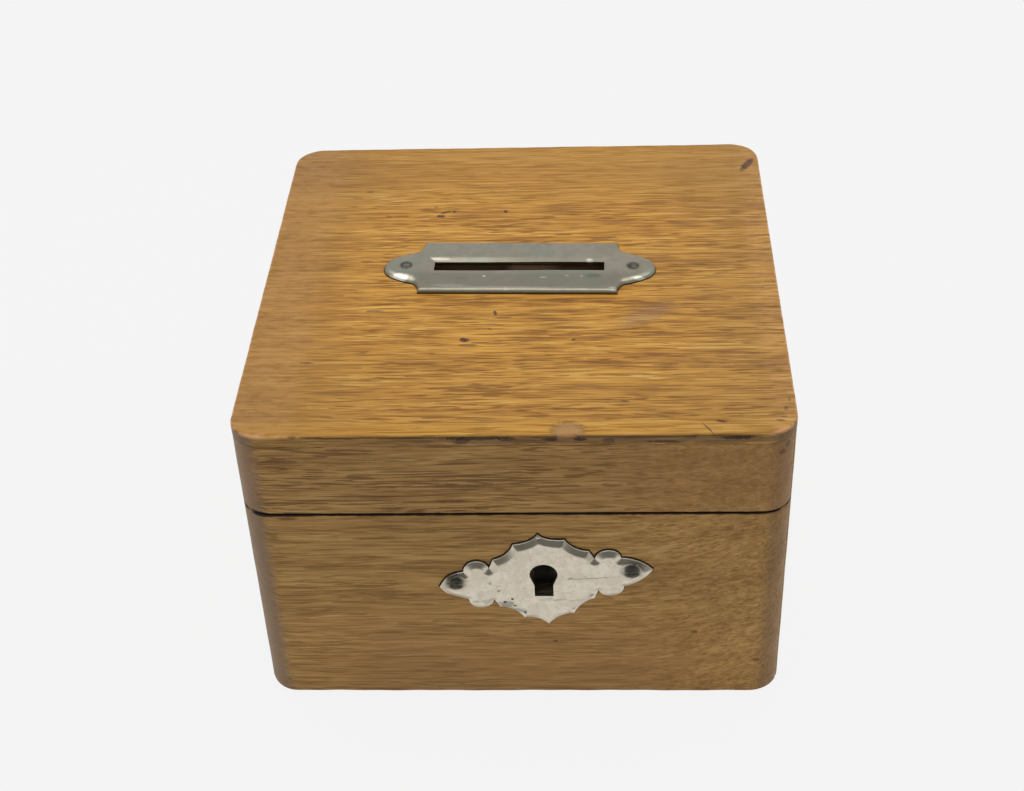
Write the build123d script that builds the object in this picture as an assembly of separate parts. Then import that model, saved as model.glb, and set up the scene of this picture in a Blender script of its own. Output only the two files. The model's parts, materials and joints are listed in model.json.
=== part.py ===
from build123d import *
import math
import os

# Oak coin box with a hinged lid. Lengths are millimetres, angles are degrees.
# Frame: +X to the right, +Y to the back, +Z up, origin in the middle of the underside.

# Case, outside
box_width = 120.0
box_depth = 120.0
box_height = 78.0
base_height = 55.9
seam_gap = 0.4
corner_radius = 7.0
top_edge_round = 0.9
foot_edge_round = 0.8
rim_edge_round = 0.4

# Boards
wall = 9.5
lap = 4.5
bottom_board = 5.0
lid_board = 6.0
lid_lip = 2.8

# Coin-slot plate, measured from its own middle along its own length
slot_plate_x = -0.1
slot_plate_y = 2.0
slot_plate_tilt = -1.5
slot_plate_thickness = 1.2
slot_plate_bevel = 1.3
slot_plate_bevel_drop = 0.45
slot_plate_body = 46.6
slot_plate_width = 20.6
slot_plate_length = 64.4
slot_plate_lobe_start = (24.6, 6.6)
slot_plate_lobe_shoulder = (30.0, 4.1)
slot_plate_cove_bow = 0.4
coin_slot_length = 40.2
coin_slot_width = 3.5
coin_slot_rim = 1.8
coin_slot_rim_drop = 0.4
coin_slot_wood_margin = 0.7
slot_pin_pitch = 53.6
slot_pin_head_radius = 1.4
slot_pin_head_height = 0.55
slot_pin_shank_radius = 0.7
slot_pin_length = 5.0

# Keyhole plate, one quarter of its outline from its own middle
key_plate_x = 6.08
key_plate_z = 36.95
key_plate_tilt = 6.8
key_plate_thickness = 1.1
key_plate_bevel = 1.5
key_plate_bevel_drop = 0.7
key_plate_crown = (0.0, 14.0)
key_plate_cusps = ((5.75, 11.15), (10.7, 7.2))
key_plate_scallop_depth = 0.85
key_plate_waist = (11.8, 4.9)
key_plate_lobe_top = (14.8, 7.2)
key_plate_notch = (17.6, 4.3)
key_plate_leaf_shoulder = (20.6, 3.3)
key_plate_tip = (24.3, 0.0)
key_pin_holes = ((-19.8, 1.0), (19.6, 0.15))
key_plate_pin_head_radius = 1.15
key_plate_pin_head_height = 0.45
key_plate_pin_shank_radius = 0.65
key_plate_pin_length = 3.8
pin_dimple = 0.45

# Keyhole: a round head, a neck that narrows from the head's flank, and a straight foot
keyhole_head_radius = 3.1
keyhole_head_rise = 2.02
keyhole_flank = (3.03, -0.65)
keyhole_neck_drop = 3.2
keyhole_foot_width = 4.2
keyhole_foot_drop = 6.5
keyhole_wood_margin = 0.4
keyhole_lock_margin = 0.2

# Butt hinges
hinge_inset = 28.0
hinge_length = 24.0
hinge_leaf = 1.0
hinge_leaf_depth = 8.0
hinge_knuckle_radius = 1.6
hinge_knuckles = 5
hinge_knuckle_gap = 0.2
hinge_axis_out = 1.0
hinge_pin_radius = 0.75
hinge_running_fit = 0.05
hinge_clear = 0.2
hinge_screw_pitch = 14.0
hinge_screw_inset = 4.0
hinge_screw_length = 7.0

# Box lock, let into the front board
lock_width = 48.0
lock_drop = 28.0
lock_plate = 1.2
lock_room = 4.2
lock_cap_width = 35.6
lock_cap_wall = 0.8
lock_cap_foot = 2.0
lock_screw_inset = 2.7
lock_screw_rise = 4.0
lock_screw_drop = 6.5
lock_screw_length = 6.0

# Key pin, ward and key
key_post_radius = 1.2
key_post_length = 5.0
key_post_tail_radius = 0.8
ward_radius = 3.6
ward_thickness = 0.6
ward_height = 1.0
key_bit_reach = 5.2

# Sliding bolt: the two prongs pass through the two staples of the link plate
bolt_travel = 5.0
bolt_side_gap = 0.4
bolt_body_height = 5.2
bolt_tail = 16.5
bolt_nose = 8.0
bolt_talon_width = 5.5
bolt_talon_depth = 2.2
bolt_slot_clear = 0.15
guide_stud_radius = 1.0
guide_stud_x = -8.5
prong_height = 2.0
prong_thickness = 1.3
prong_post = 2.0
staple_places = (-8.0, 12.0)
staple_thickness = 1.6
staple_width = 3.4
staple_eye_width = 1.9
staple_eye_height = 3.2
staple_foot = 1.2
staple_clear = 0.4
staple_end_gap = 0.6
bolt_lift_gap = 0.6
bolt_spring_thickness = 0.4
bolt_spring_width = 3.0
bolt_spring_leg = 6.0
bolt_spring_run = 10.0
bolt_spring_gap = 0.3

# Link plate, let into the lid's front rim
link_length = 40.0
link_width = 4.6
link_thickness = 1.2
link_screw_pitch = 33.0
link_screw_length = 8.0

# The most that a corner moves when a plate's outline is moved in for its bevel
least_corner_spread = 0.8

# Wood screws and pins
screw_head_radius = 1.6
screw_shank_radius = 0.85
screw_tip = 1.5
screw_slot_width = 0.5
screw_slot_depth = 0.4
snug_fit = 0.02

# Worked out from the sizes above
half_width = box_width / 2
half_depth = box_depth / 2
lid_rim = base_height + seam_gap
lid_frame_top = box_height - lid_lip
inner_front = wall - half_depth
hinge_y = half_depth + hinge_axis_out
hinge_z = base_height + seam_gap / 2
tilt = math.radians(key_plate_tilt)
lock_x = key_plate_x - keyhole_head_rise * math.sin(tilt)
lock_z = key_plate_z + keyhole_head_rise * math.cos(tilt)
room_back = inner_front - lock_plate
room_front = room_back - lock_room
bolt_y = (room_back + room_front) / 2
bolt_foot = lock_z + key_bit_reach
bolt_top = bolt_foot + bolt_body_height
staple_tip = bolt_top + bolt_lift_gap
eye_foot = staple_tip + staple_foot
prong_foot = eye_foot + (staple_eye_height - prong_height) / 2
selvedge_foot = base_height - lock_plate


def block(x0, x1, y0, y1, z0, z1):
    """A box between two corners."""
    return Pos((x0 + x1) / 2, (y0 + y1) / 2, (z0 + z1) / 2) * Box(x1 - x0, y1 - y0, z1 - z0)


def rod(radius, start, end):
    """A round bar from one point to another."""
    run = Vector(*end) - Vector(*start)
    middle = Vector(*start) + run * 0.5
    return Plane(origin=middle, z_dir=run) * Cylinder(radius, run.length)


def screw(head, direction, length, extra=0.0):
    """A countersunk wood screw, its flat head at a point, grown all round by extra."""
    sink = screw_head_radius - screw_shank_radius
    profile = Polyline(
        (0, 0),
        (screw_head_radius + extra, 0),
        (screw_shank_radius + extra, -sink),
        (screw_shank_radius + extra, screw_tip - length),
        (0, -length - extra),
        close=True,
    )
    body = revolve(make_face(Plane.XZ * profile), Axis.Z)
    if not extra:
        slot = Box(3 * screw_head_radius, screw_slot_width, 2 * screw_slot_depth)
        body -= slot
    return Plane(origin=head, z_dir=-Vector(*direction)) * body


def domed_pin(head_radius, head_height, shank_radius, reach):
    """A round pin: a low dome above z = 0 and a shank down to -reach."""
    dome_radius = (head_radius**2 + head_height**2) / (2 * head_height)
    dome = Pos(0, 0, head_height - dome_radius) * Sphere(dome_radius)
    dome &= Pos(0, 0, head_height / 2) * Cylinder(head_radius, head_height)
    return dome + Pos(0, 0, -reach / 2) * Cylinder(shank_radius, reach)


def case_prism(z0, z1, foot_round, head_round):
    """The case's rounded outline between two heights, its outer edges eased."""
    solid = Pos(0, 0, z0) * extrude(RectangleRounded(box_width, box_depth, corner_radius), z1 - z0)
    if foot_round:
        solid = fillet(solid.faces().sort_by(Axis.Z)[0].edges(), foot_round)
    if head_round:
        solid = fillet(solid.faces().sort_by(Axis.Z)[-1].edges(), head_round)
    return solid


def lapped_walls(z0, z1, foot_round, head_round):
    """Front, back, left and right boards. Front and back lap over the ends of the sides."""
    case = case_prism(z0, z1, foot_round, head_round)
    side_end = half_depth - lap
    right = block(half_width - wall, half_width, -side_end, side_end, z0, z1)
    left = mirror(right, Plane.YZ)
    back = block(-half_width, half_width, half_depth - wall, half_depth, z0, z1) - right - left
    front = mirror(back, Plane.XZ)
    return [case & board for board in (front, back, left, right)]


def outward(edge, at):
    """The direction that points out of a plate, part of the way along an edge."""
    heading = edge % at
    return Vector(-heading.Y, heading.X)


def moved_in(edges, inset):
    """A quarter outline's edges moved inwards, with every corner still a corner."""
    first, last = outward(edges[0], 0), outward(edges[-1], 1)
    before = [Vector(-first.X, first.Y)] + [outward(edge, 1) for edge in edges]
    after = [outward(edge, 0) for edge in edges] + [Vector(last.X, -last.Y)]
    corners = [edges[0] @ 0] + [edge @ 1 for edge in edges]
    moved = []
    for corner, left, right in zip(corners, before, after):
        spread = max(1 + left.dot(right), least_corner_spread)
        moved.append(corner - (left + right) * (inset / spread))
    result = []
    for edge, start, end in zip(edges, moved, moved[1:]):
        if edge.geom_type == GeomType.LINE:
            result.append(Line(start, end))
        else:
            result.append(ThreePointArc(start, edge @ 0.5 - outward(edge, 0.5) * inset, end))
    return result


def whole_outline(quarter):
    """A quarter outline, from the middle of the top to the right tip, in all four quarters."""
    right = Curve() + quarter + [mirror(edge, Plane.XZ) for edge in quarter]
    return make_face(Curve() + [right, mirror(right, Plane.YZ)])


def bevelled_plate(quarter, thickness, bevel, drop):
    """A sheet on z = 0 with a bevel all round, bevel wide and drop high."""
    outline = whole_outline(quarter)
    flat = whole_outline(moved_in(quarter, bevel))
    edge_height = thickness - drop
    slope = loft([Pos(0, 0, edge_height) * outline, Pos(0, 0, thickness) * flat], ruled=True)
    return extrude(outline, edge_height) + slope


def slot_plate_quarter():
    """Half the long side, a cove at the corner, and a round-ended lobe."""
    side = slot_plate_width / 2
    corner = Vector(slot_plate_body / 2, side)
    lobe_start = Vector(*slot_plate_lobe_start)
    shoulder = Vector(*slot_plate_lobe_shoulder)
    tip = Vector(slot_plate_length / 2, 0)
    chord = lobe_start - corner
    cove = (corner + lobe_start) * 0.5 + Vector(chord.Y, -chord.X).normalized() * slot_plate_cove_bow
    end = TangentArc(tip, shoulder, tangent=(0, 1))
    flank = TangentArc(shoulder, lobe_start, tangent=end % 1)
    return [
        Line((0, side), corner),
        ThreePointArc(corner, cove, lobe_start),
        ThreePointArc(lobe_start, flank @ 0.5, shoulder),
        ThreePointArc(shoulder, end @ 0.5, tip),
    ]


def on_slot_plate(shape):
    """Carries a shape from the coin-slot plate's own middle to its place on the lid."""
    return Pos(slot_plate_x, slot_plate_y, box_height) * Rot(0, 0, slot_plate_tilt) * shape


def slot_pin_places():
    return [Pos(side * slot_pin_pitch / 2, 0, 0) for side in (-1, 1)]


def make_coin_slot_plate():
    plate = bevelled_plate(
        slot_plate_quarter(), slot_plate_thickness, slot_plate_bevel, slot_plate_bevel_drop
    )
    wide = Rectangle(coin_slot_length + 2 * coin_slot_rim, coin_slot_width + 2 * coin_slot_rim)
    narrow = Rectangle(coin_slot_length, coin_slot_width)
    rim_foot = slot_plate_thickness - coin_slot_rim_drop
    sunk_rim = loft([Pos(0, 0, rim_foot) * narrow, Pos(0, 0, slot_plate_thickness) * wide], ruled=True)
    plate -= sunk_rim
    plate -= extrude(narrow, slot_plate_thickness)
    for place in slot_pin_places():
        plate -= place * Cylinder(slot_pin_shank_radius + snug_fit, 4 * slot_plate_thickness)
    return on_slot_plate(plate)


def make_slot_plate_pins():
    reach = slot_plate_thickness + slot_pin_length
    pin = domed_pin(slot_pin_head_radius, slot_pin_head_height, slot_pin_shank_radius, reach)
    pins = [on_slot_plate(place * Pos(0, 0, slot_plate_thickness) * pin) for place in slot_pin_places()]
    return Compound(children=pins)


def make_lid_top():
    """The lid's board: a lip over the frame and a thinner plug inside it."""
    lip = case_prism(lid_frame_top, box_height, 0, top_edge_round)
    plug_x = half_width - wall
    plug_y = half_depth - wall
    board = lip + block(-plug_x, plug_x, -plug_y, plug_y, box_height - lid_board, lid_frame_top)
    slot = Box(
        coin_slot_length + 2 * coin_slot_wood_margin,
        coin_slot_width + 2 * coin_slot_wood_margin,
        3 * lid_board,
    )
    board -= on_slot_plate(slot)
    for place in slot_pin_places():
        hole = Pos(0, 0, -slot_pin_length / 2) * Cylinder(slot_pin_shank_radius + snug_fit, slot_pin_length)
        board -= on_slot_plate(place * hole)
    return board


def key_plate_quarter():
    """From the crown to the tip: scallops, a short waist, a round lobe and a leaf."""
    points = [key_plate_crown, *key_plate_cusps]
    edges = []
    for start, end in zip(points, points[1:]):
        chord = Vector(*end) - Vector(*start)
        inward = Vector(chord.Y, -chord.X).normalized()
        middle = (Vector(*start) + Vector(*end)) * 0.5
        edges.append(ThreePointArc(start, middle + inward * key_plate_scallop_depth, end))
    edges.append(Line(key_plate_cusps[-1], key_plate_waist))
    edges.append(ThreePointArc(key_plate_waist, key_plate_lobe_top, key_plate_notch))
    edges.append(ThreePointArc(key_plate_notch, key_plate_leaf_shoulder, key_plate_tip))
    return edges


def keyhole(margin, depth):
    """The keyhole grown by margin, centred on its round head, cut both ways by depth."""
    head = Cylinder(keyhole_head_radius + margin, 2 * depth)
    flank_x, flank_y = keyhole_flank
    foot_x = keyhole_foot_width / 2 + margin
    right = [(flank_x + margin, flank_y), (foot_x, -keyhole_neck_drop), (foot_x, -keyhole_foot_drop - margin)]
    left = [(-x, y) for x, y in reversed(right)]
    return head + extrude(Polygon(*left, *right, align=None), depth, both=True)


def on_key_plate(shape):
    """Carries a shape from the keyhole plate's own middle to its place on the front."""
    place = Plane(origin=(key_plate_x, -half_depth, key_plate_z), x_dir=(1, 0, 0), z_dir=(0, -1, 0))
    return place * Rot(0, 0, key_plate_tilt) * shape


def plate_keyhole(margin, depth):
    """The keyhole in its place on the keyhole plate: plumb, though the plate leans."""
    return Pos(0, keyhole_head_rise, 0) * Rot(0, 0, -key_plate_tilt) * keyhole(margin, depth)


def key_plate_pin_places():
    return [Pos(x, y, 0) for x, y in key_pin_holes]


def make_keyhole_escutcheon():
    plate = bevelled_plate(
        key_plate_quarter(), key_plate_thickness, key_plate_bevel, key_plate_bevel_drop
    )
    plate -= plate_keyhole(0, 2 * key_plate_thickness)
    for place in key_plate_pin_places():
        plate -= place * Cylinder(key_plate_pin_shank_radius + snug_fit, 4 * key_plate_thickness)
        seat = Pos(0, 0, key_plate_thickness - pin_dimple / 2)
        plate -= place * seat * Cylinder(key_plate_pin_head_radius + snug_fit, pin_dimple)
    return on_key_plate(plate)


def make_escutcheon_pins():
    seat = key_plate_thickness - pin_dimple
    pin = domed_pin(
        key_plate_pin_head_radius,
        key_plate_pin_head_height,
        key_plate_pin_shank_radius,
        seat + key_plate_pin_length,
    )
    return Compound(children=[on_key_plate(place * Pos(0, 0, seat) * pin) for place in key_plate_pin_places()])


def hinge_centres():
    """The middles of the left and the right hinge, each an inset in from its side of the box."""
    centre = half_width - hinge_inset
    return [-centre, centre]


def hinge_barrel(centre, radius, grow=0.0):
    """A bar on the hinge axis over one hinge's whole length."""
    reach = hinge_length / 2 + grow
    return rod(radius, (centre - reach, hinge_y, hinge_z), (centre + reach, hinge_y, hinge_z))


def hinge_knuckle_spans(centre, first):
    """The lengths of every second knuckle, starting with number first."""
    pitch = (hinge_length + hinge_knuckle_gap) / hinge_knuckles
    start = centre - hinge_length / 2
    knuckle = pitch - hinge_knuckle_gap
    return [(start + n * pitch, start + n * pitch + knuckle) for n in range(first, hinge_knuckles, 2)]


def hinge_screw_places(centre, z):
    y = half_depth - hinge_screw_inset
    return [(centre + side * hinge_screw_pitch / 2, y, z) for side in (-1, 1)]


def make_hinge_leaf(centre, z0, z1, first, rim, direction, bore):
    """One leaf with its knuckles. The other leaf's knuckles get clear space."""
    half = hinge_length / 2
    leaf = block(centre - half, centre + half, half_depth - hinge_leaf_depth, hinge_y, z0, z1)
    for x0, x1 in hinge_knuckle_spans(centre, 1 - first):
        grown = (x0 - hinge_knuckle_gap, hinge_y, hinge_z), (x1 + hinge_knuckle_gap, hinge_y, hinge_z)
        leaf -= rod(hinge_knuckle_radius + hinge_clear, *grown)
    for x0, x1 in hinge_knuckle_spans(centre, first):
        leaf += rod(hinge_knuckle_radius, (x0, hinge_y, hinge_z), (x1, hinge_y, hinge_z))
    leaf -= hinge_barrel(centre, bore, 1)
    for place in hinge_screw_places(centre, rim):
        leaf -= screw(place, direction, hinge_screw_length, snug_fit)
    return leaf


def make_hinge_pin(centre):
    return hinge_barrel(centre, hinge_pin_radius)


def hinge_screws(rim, direction):
    places = [place for centre in hinge_centres() for place in hinge_screw_places(centre, rim)]
    return [screw(place, direction, hinge_screw_length) for place in places]


def cut_hinge_seats(board, z0, z1, rim, direction):
    """Lets the leaves into a rim, clears the knuckles and drills for the screws."""
    for centre in hinge_centres():
        half = hinge_length / 2
        board -= block(centre - half, centre + half, half_depth - hinge_leaf_depth, half_depth + 1, z0, z1)
        board -= hinge_barrel(centre, hinge_knuckle_radius + hinge_clear, hinge_clear)
        for place in hinge_screw_places(centre, rim):
            board -= screw(place, direction, hinge_screw_length, snug_fit)
    return board


def lock_screw_places():
    x = lock_width / 2 - lock_screw_inset
    low = base_height - lock_drop + lock_screw_rise
    high = base_height - lock_screw_drop
    return [(lock_x + side * x, inner_front, z) for side in (-1, 1) for z in (low, high)]


def lock_envelope():
    """The space that the lock takes out of the front board."""
    half = lock_width / 2
    cap = lock_cap_width / 2
    z0 = base_height - lock_drop
    front = room_front - lock_cap_wall
    plate = block(lock_x - half, lock_x + half, room_back, inner_front, z0, base_height)
    selvedge = block(lock_x - half, lock_x + half, front, inner_front, selvedge_foot, base_height)
    case = block(lock_x - cap, lock_x + cap, front, inner_front, z0 + lock_cap_foot, base_height)
    return plate, selvedge, case


def staple_spans():
    return [(lock_x + x - staple_thickness / 2, lock_x + x + staple_thickness / 2) for x in staple_places]


def make_lock_plate():
    """An angle: the back plate on the board's inner face and the selvedge on its rim."""
    plate, selvedge, _ = lock_envelope()
    body = plate + selvedge
    reach = staple_width / 2 + staple_clear
    for x0, x1 in staple_spans():
        span = (x0 - staple_clear, x1 + staple_clear)
        body -= block(*span, bolt_y - reach, bolt_y + reach, selvedge_foot - 1, base_height + 1)
    for place in lock_screw_places():
        body -= screw(place, (0, -1, 0), lock_screw_length, snug_fit)
    tail = key_post_tail_radius + snug_fit
    body -= rod(tail, (lock_x, inner_front + 1, lock_z), (lock_x, room_back - 1, lock_z))
    return body


def make_lock_cap():
    """A tray, open to the back plate and at the top, with its own keyhole."""
    cap = lock_cap_width / 2
    z0 = base_height - lock_drop + lock_cap_foot
    front = room_front - lock_cap_wall
    tray = block(lock_x - cap, lock_x + cap, front, room_back, z0, selvedge_foot)
    inside = cap - lock_cap_wall
    tray -= block(
        lock_x - inside, lock_x + inside, room_front, room_back, z0 + lock_cap_wall, selvedge_foot
    )
    facing = Plane(origin=(lock_x, front, lock_z), x_dir=(1, 0, 0), z_dir=(0, -1, 0))
    return tray - facing * keyhole(keyhole_lock_margin, 2 * lock_cap_wall)


def make_lock_key_post():
    """The post that a bored key turns on, with a thinner tail riveted in the back plate."""
    shoulder = (lock_x, room_back, lock_z)
    post = rod(key_post_radius, shoulder, (lock_x, room_back - key_post_length, lock_z))
    return post + rod(key_post_tail_radius, (lock_x, inner_front, lock_z), shoulder)


def make_lock_ward():
    start = (lock_x, room_back, lock_z)
    end = (lock_x, room_back - ward_height, lock_z)
    return rod(ward_radius + ward_thickness, start, end) - rod(ward_radius, start, end)


def make_bolt_guide_stud():
    x = lock_x + guide_stud_x
    z = bolt_foot + bolt_body_height / 2
    return rod(guide_stud_radius, (x, room_back, z), (x, room_front, z))


def make_lock_bolt():
    """The bolt drawn back: a flat bar with a talon for the key and two prongs above."""
    back = room_back - bolt_side_gap
    front = room_front + bolt_side_gap
    bolt = block(lock_x - bolt_tail, lock_x + bolt_nose, front, back, bolt_foot, bolt_top)
    talon = lock_x - bolt_travel / 2
    reach = bolt_talon_width / 2
    bolt -= block(talon - reach, talon + reach, front, back, bolt_foot, bolt_foot + bolt_talon_depth)
    z = bolt_foot + bolt_body_height / 2
    slot = guide_stud_radius + bolt_slot_clear
    right = lock_x + guide_stud_x
    left = right - bolt_travel
    bolt -= block(left, right, front, back, z - slot, z + slot)
    for x in (left, right):
        bolt -= rod(slot, (x, front, z), (x, back, z))
    half = prong_thickness / 2
    for x0, _ in staple_spans():
        tip = x0 - staple_end_gap
        post = x0 - staple_clear - bolt_travel - prong_post
        prong_top = prong_foot + prong_height
        bolt += block(post, tip, bolt_y - half, bolt_y + half, prong_foot, prong_top)
        bolt += block(post, post + prong_post, bolt_y - half, bolt_y + half, bolt_top, prong_top)
    return bolt


def make_bolt_spring():
    """A bent strip: a leg on the cap's side wall and a run under the bolt's tail."""
    half = bolt_spring_thickness / 2
    wall_x = lock_x - lock_cap_width / 2 + lock_cap_wall + half
    run_z = bolt_foot - bolt_spring_gap - half
    path = FilletPolyline(
        (wall_x, run_z - bolt_spring_leg),
        (wall_x, run_z),
        (wall_x + bolt_spring_run, run_z),
        radius=3 * bolt_spring_thickness,
    )
    strip = trace(path, bolt_spring_thickness)
    bar = extrude(strip, bolt_spring_width / 2, both=True)
    return Pos(0, bolt_y, 0) * Rot(90, 0, 0) * bar


def make_lock_screws():
    return Compound(children=[screw(p, (0, -1, 0), lock_screw_length) for p in lock_screw_places()])


def link_block():
    half = link_length / 2
    y = link_width / 2
    return block(lock_x - half, lock_x + half, bolt_y - y, bolt_y + y, lid_rim, lid_rim + link_thickness)


def link_screw_places():
    return [(lock_x + side * link_screw_pitch / 2, bolt_y, lid_rim) for side in (-1, 1)]


def make_link_plate():
    """A strip let into the lid's rim, with two staples that hang into the lock."""
    plate = link_block()
    half = staple_width / 2
    eye = staple_eye_width / 2
    for x0, x1 in staple_spans():
        plate += block(x0, x1, bolt_y - half, bolt_y + half, staple_tip, lid_rim)
        plate -= block(x0, x1, bolt_y - eye, bolt_y + eye, eye_foot, eye_foot + staple_eye_height)
    for place in link_screw_places():
        plate -= screw(place, (0, 0, 1), link_screw_length, snug_fit)
    return plate


def make_link_plate_screws():
    return Compound(children=[screw(p, (0, 0, 1), link_screw_length) for p in link_screw_places()])


def make_base_boards():
    front, back, left, right = lapped_walls(0, base_height, foot_edge_round, rim_edge_round)
    reach_x = half_width - lap
    reach_y = half_depth - lap
    bottom = block(-reach_x, reach_x, -reach_y, reach_y, 0, bottom_board)
    front, back, left, right = [board - bottom for board in (front, back, left, right)]
    for space in lock_envelope():
        front -= space
    for place in lock_screw_places():
        front -= screw(place, (0, -1, 0), lock_screw_length, snug_fit)
    front -= on_key_plate(plate_keyhole(keyhole_wood_margin, wall))
    for place in key_plate_pin_places():
        hole = Cylinder(key_plate_pin_shank_radius + snug_fit, key_plate_pin_length)
        front -= on_key_plate(place * Pos(0, 0, -key_plate_pin_length / 2) * hole)
    back = cut_hinge_seats(back, base_height - hinge_leaf, base_height + 1, base_height, (0, 0, -1))
    return {
        "base_front": front,
        "base_back": back,
        "base_left": left,
        "base_right": right,
        "base_bottom": bottom,
    }


def make_lid_boards():
    front, back, left, right = lapped_walls(lid_rim, lid_frame_top, rim_edge_round, 0)
    front -= link_block()
    for place in link_screw_places():
        front -= screw(place, (0, 0, 1), link_screw_length, snug_fit)
    back = cut_hinge_seats(back, lid_rim - 1, lid_rim + hinge_leaf, lid_rim, (0, 0, 1))
    return {
        "lid_front": front,
        "lid_back": back,
        "lid_left": left,
        "lid_right": right,
        "lid_top": make_lid_top(),
    }


def make_hinges():
    parts = {}
    for name, centre in zip(("left", "right"), hinge_centres()):
        parts[f"hinge_{name}_base_leaf"] = make_hinge_leaf(
            centre,
            base_height - hinge_leaf,
            base_height,
            0,
            base_height,
            (0, 0, -1),
            hinge_pin_radius + snug_fit,
        )
        parts[f"hinge_{name}_lid_leaf"] = make_hinge_leaf(
            centre,
            lid_rim,
            lid_rim + hinge_leaf,
            1,
            lid_rim,
            (0, 0, 1),
            hinge_pin_radius + hinge_running_fit,
        )
        parts[f"hinge_{name}_pin"] = make_hinge_pin(centre)
    parts["hinge_base_screws"] = Compound(children=hinge_screws(base_height, (0, 0, -1)))
    parts["hinge_lid_screws"] = Compound(children=hinge_screws(lid_rim, (0, 0, 1)))
    return parts


def make_lock():
    return {
        "lock_plate": make_lock_plate(),
        "lock_cap": make_lock_cap(),
        "lock_bolt": make_lock_bolt(),
        "bolt_guide_stud": make_bolt_guide_stud(),
        "bolt_spring": make_bolt_spring(),
        "lock_key_post": make_lock_key_post(),
        "lock_ward": make_lock_ward(),
        "lock_screws": make_lock_screws(),
        "link_plate": make_link_plate(),
        "link_plate_screws": make_link_plate_screws(),
    }


def main():
    parts = {
        **make_base_boards(),
        **make_lid_boards(),
        "coin_slot_plate": make_coin_slot_plate(),
        "slot_plate_pins": make_slot_plate_pins(),
        "keyhole_escutcheon": make_keyhole_escutcheon(),
        "escutcheon_pins": make_escutcheon_pins(),
        **make_hinges(),
        **make_lock(),
    }
    os.makedirs("parts", exist_ok=True)
    for name, shape in parts.items():
        export_step(shape, f"parts/{name}.step")
        print(name, round(shape.volume, 2))


if __name__ == "__main__":
    main()
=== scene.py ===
# %% [markdown]
# # A small oak coin box
# The real box is thin oak boards glued into a case and then sawn apart into a base and a lid.
# The lid carries a pressed steel plate with a coin slot, and the front a scalloped keyhole plate.
# The mechanical model is loaded first and never changed. Its hinges, lock and screws stay and get
# a finish. The boards and the two plates are made again here with their wear, because a hundred
# years of handling shows in the edges: eased unevenly, chipped, and dark where dirt has settled.

# %% Load the fixed model
import json
import math

import bpy
import numpy as np
from mathutils import Matrix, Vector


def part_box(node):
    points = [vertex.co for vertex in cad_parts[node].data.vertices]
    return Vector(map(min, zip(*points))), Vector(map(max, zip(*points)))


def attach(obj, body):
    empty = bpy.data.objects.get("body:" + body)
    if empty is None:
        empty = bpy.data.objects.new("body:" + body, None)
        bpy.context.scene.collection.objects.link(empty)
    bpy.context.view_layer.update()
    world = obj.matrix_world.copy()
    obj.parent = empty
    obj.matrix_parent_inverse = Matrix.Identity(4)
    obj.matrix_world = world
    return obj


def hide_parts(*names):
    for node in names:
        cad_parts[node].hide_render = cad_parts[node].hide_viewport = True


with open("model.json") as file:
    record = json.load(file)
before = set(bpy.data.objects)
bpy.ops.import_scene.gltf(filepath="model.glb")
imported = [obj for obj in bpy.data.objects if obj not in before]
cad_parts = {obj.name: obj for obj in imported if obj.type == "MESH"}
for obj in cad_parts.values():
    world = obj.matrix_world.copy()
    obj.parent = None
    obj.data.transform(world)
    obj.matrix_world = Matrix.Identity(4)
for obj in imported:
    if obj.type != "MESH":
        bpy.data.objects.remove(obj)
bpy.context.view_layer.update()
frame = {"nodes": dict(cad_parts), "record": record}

# %% [markdown]
# ## Sizes
# Every board's place comes from the loaded model, so nothing has to be fitted by eye.
# Shapes are worked out in millimetres and turned to metres when the mesh is made.
# Only what the model's corner boxes can't tell is written here, such as the corner's radius.

# %% Read the boards' sizes
MM = 0.001


def box_mm(node):
    """The lowest and highest corner of a node, in millimetres."""
    return [np.array(corner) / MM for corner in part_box(node)]


side_low, side_high = box_mm("base_right")
half, lap_y, base_top = side_high
inner = side_low[0]
lid_rim, lip_foot = [corner[2] for corner in box_mm("lid_right")]
board_foot, lid_top_z = [corner[2] for corner in box_mm("lid_top")]
corner_radius = 7.0
corner_start = half - corner_radius
print("half width", half, "wall", half - inner, "seam", lid_rim - base_top, "height", lid_top_z)

# %% [markdown]
# ## Helpers for the finishes
# Colours are written as the hex values that a picture shows, and one function turns them to the
# linear values that the shaders want. One more adds a shader node and hands back its output, so
# that a finish reads as a list of steps. The node tree that is being filled lies on the bench.

# %% Colours and shader nodes
bench = {}


def colour(code):
    """An sRGB hex code as linear red, green, blue and alpha."""
    values = np.array([int(code[i:i + 2], 16) for i in (0, 2, 4)]) / 255
    linear = np.where(values <= 0.04045, values / 12.92, ((values + 0.055) / 1.055) ** 2.4)
    return (*linear.tolist(), 1.0)


def add(kind, inputs=(), out=0, **settings):
    """Adds a shader node and gives one output. A second word in its kind is its operation. Its
    inputs are values or links, given by name, or in order from the first one."""
    kind, *operation = kind.split()
    made = bench["tree"].nodes.new("ShaderNode" + kind)
    if operation:
        made.operation = operation[0]
    for name, value in settings.items():
        setattr(made, name, value)
    for key, value in inputs.items() if isinstance(inputs, dict) else enumerate(inputs):
        if isinstance(value, bpy.types.NodeSocket):
            bench["tree"].links.new(value, made.inputs[key])
        else:
            made.inputs[key].default_value = value
    return made.outputs[out] if made.outputs else made


def work_on(tree):
    """Empties a node tree and lays it on the bench."""
    tree.nodes.clear()
    bench["tree"] = tree


def new_material(name):
    """A new material, with its empty node tree on the bench."""
    made = bpy.data.materials.new(name)
    made.use_nodes = True
    work_on(made.node_tree)
    return made


def dress(piece, look):
    """Gives a piece one material."""
    piece.data.materials.clear()
    piece.data.materials.append(look)


print("golden oak in linear light", [round(v, 3) for v in colour("B98A45")])

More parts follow.
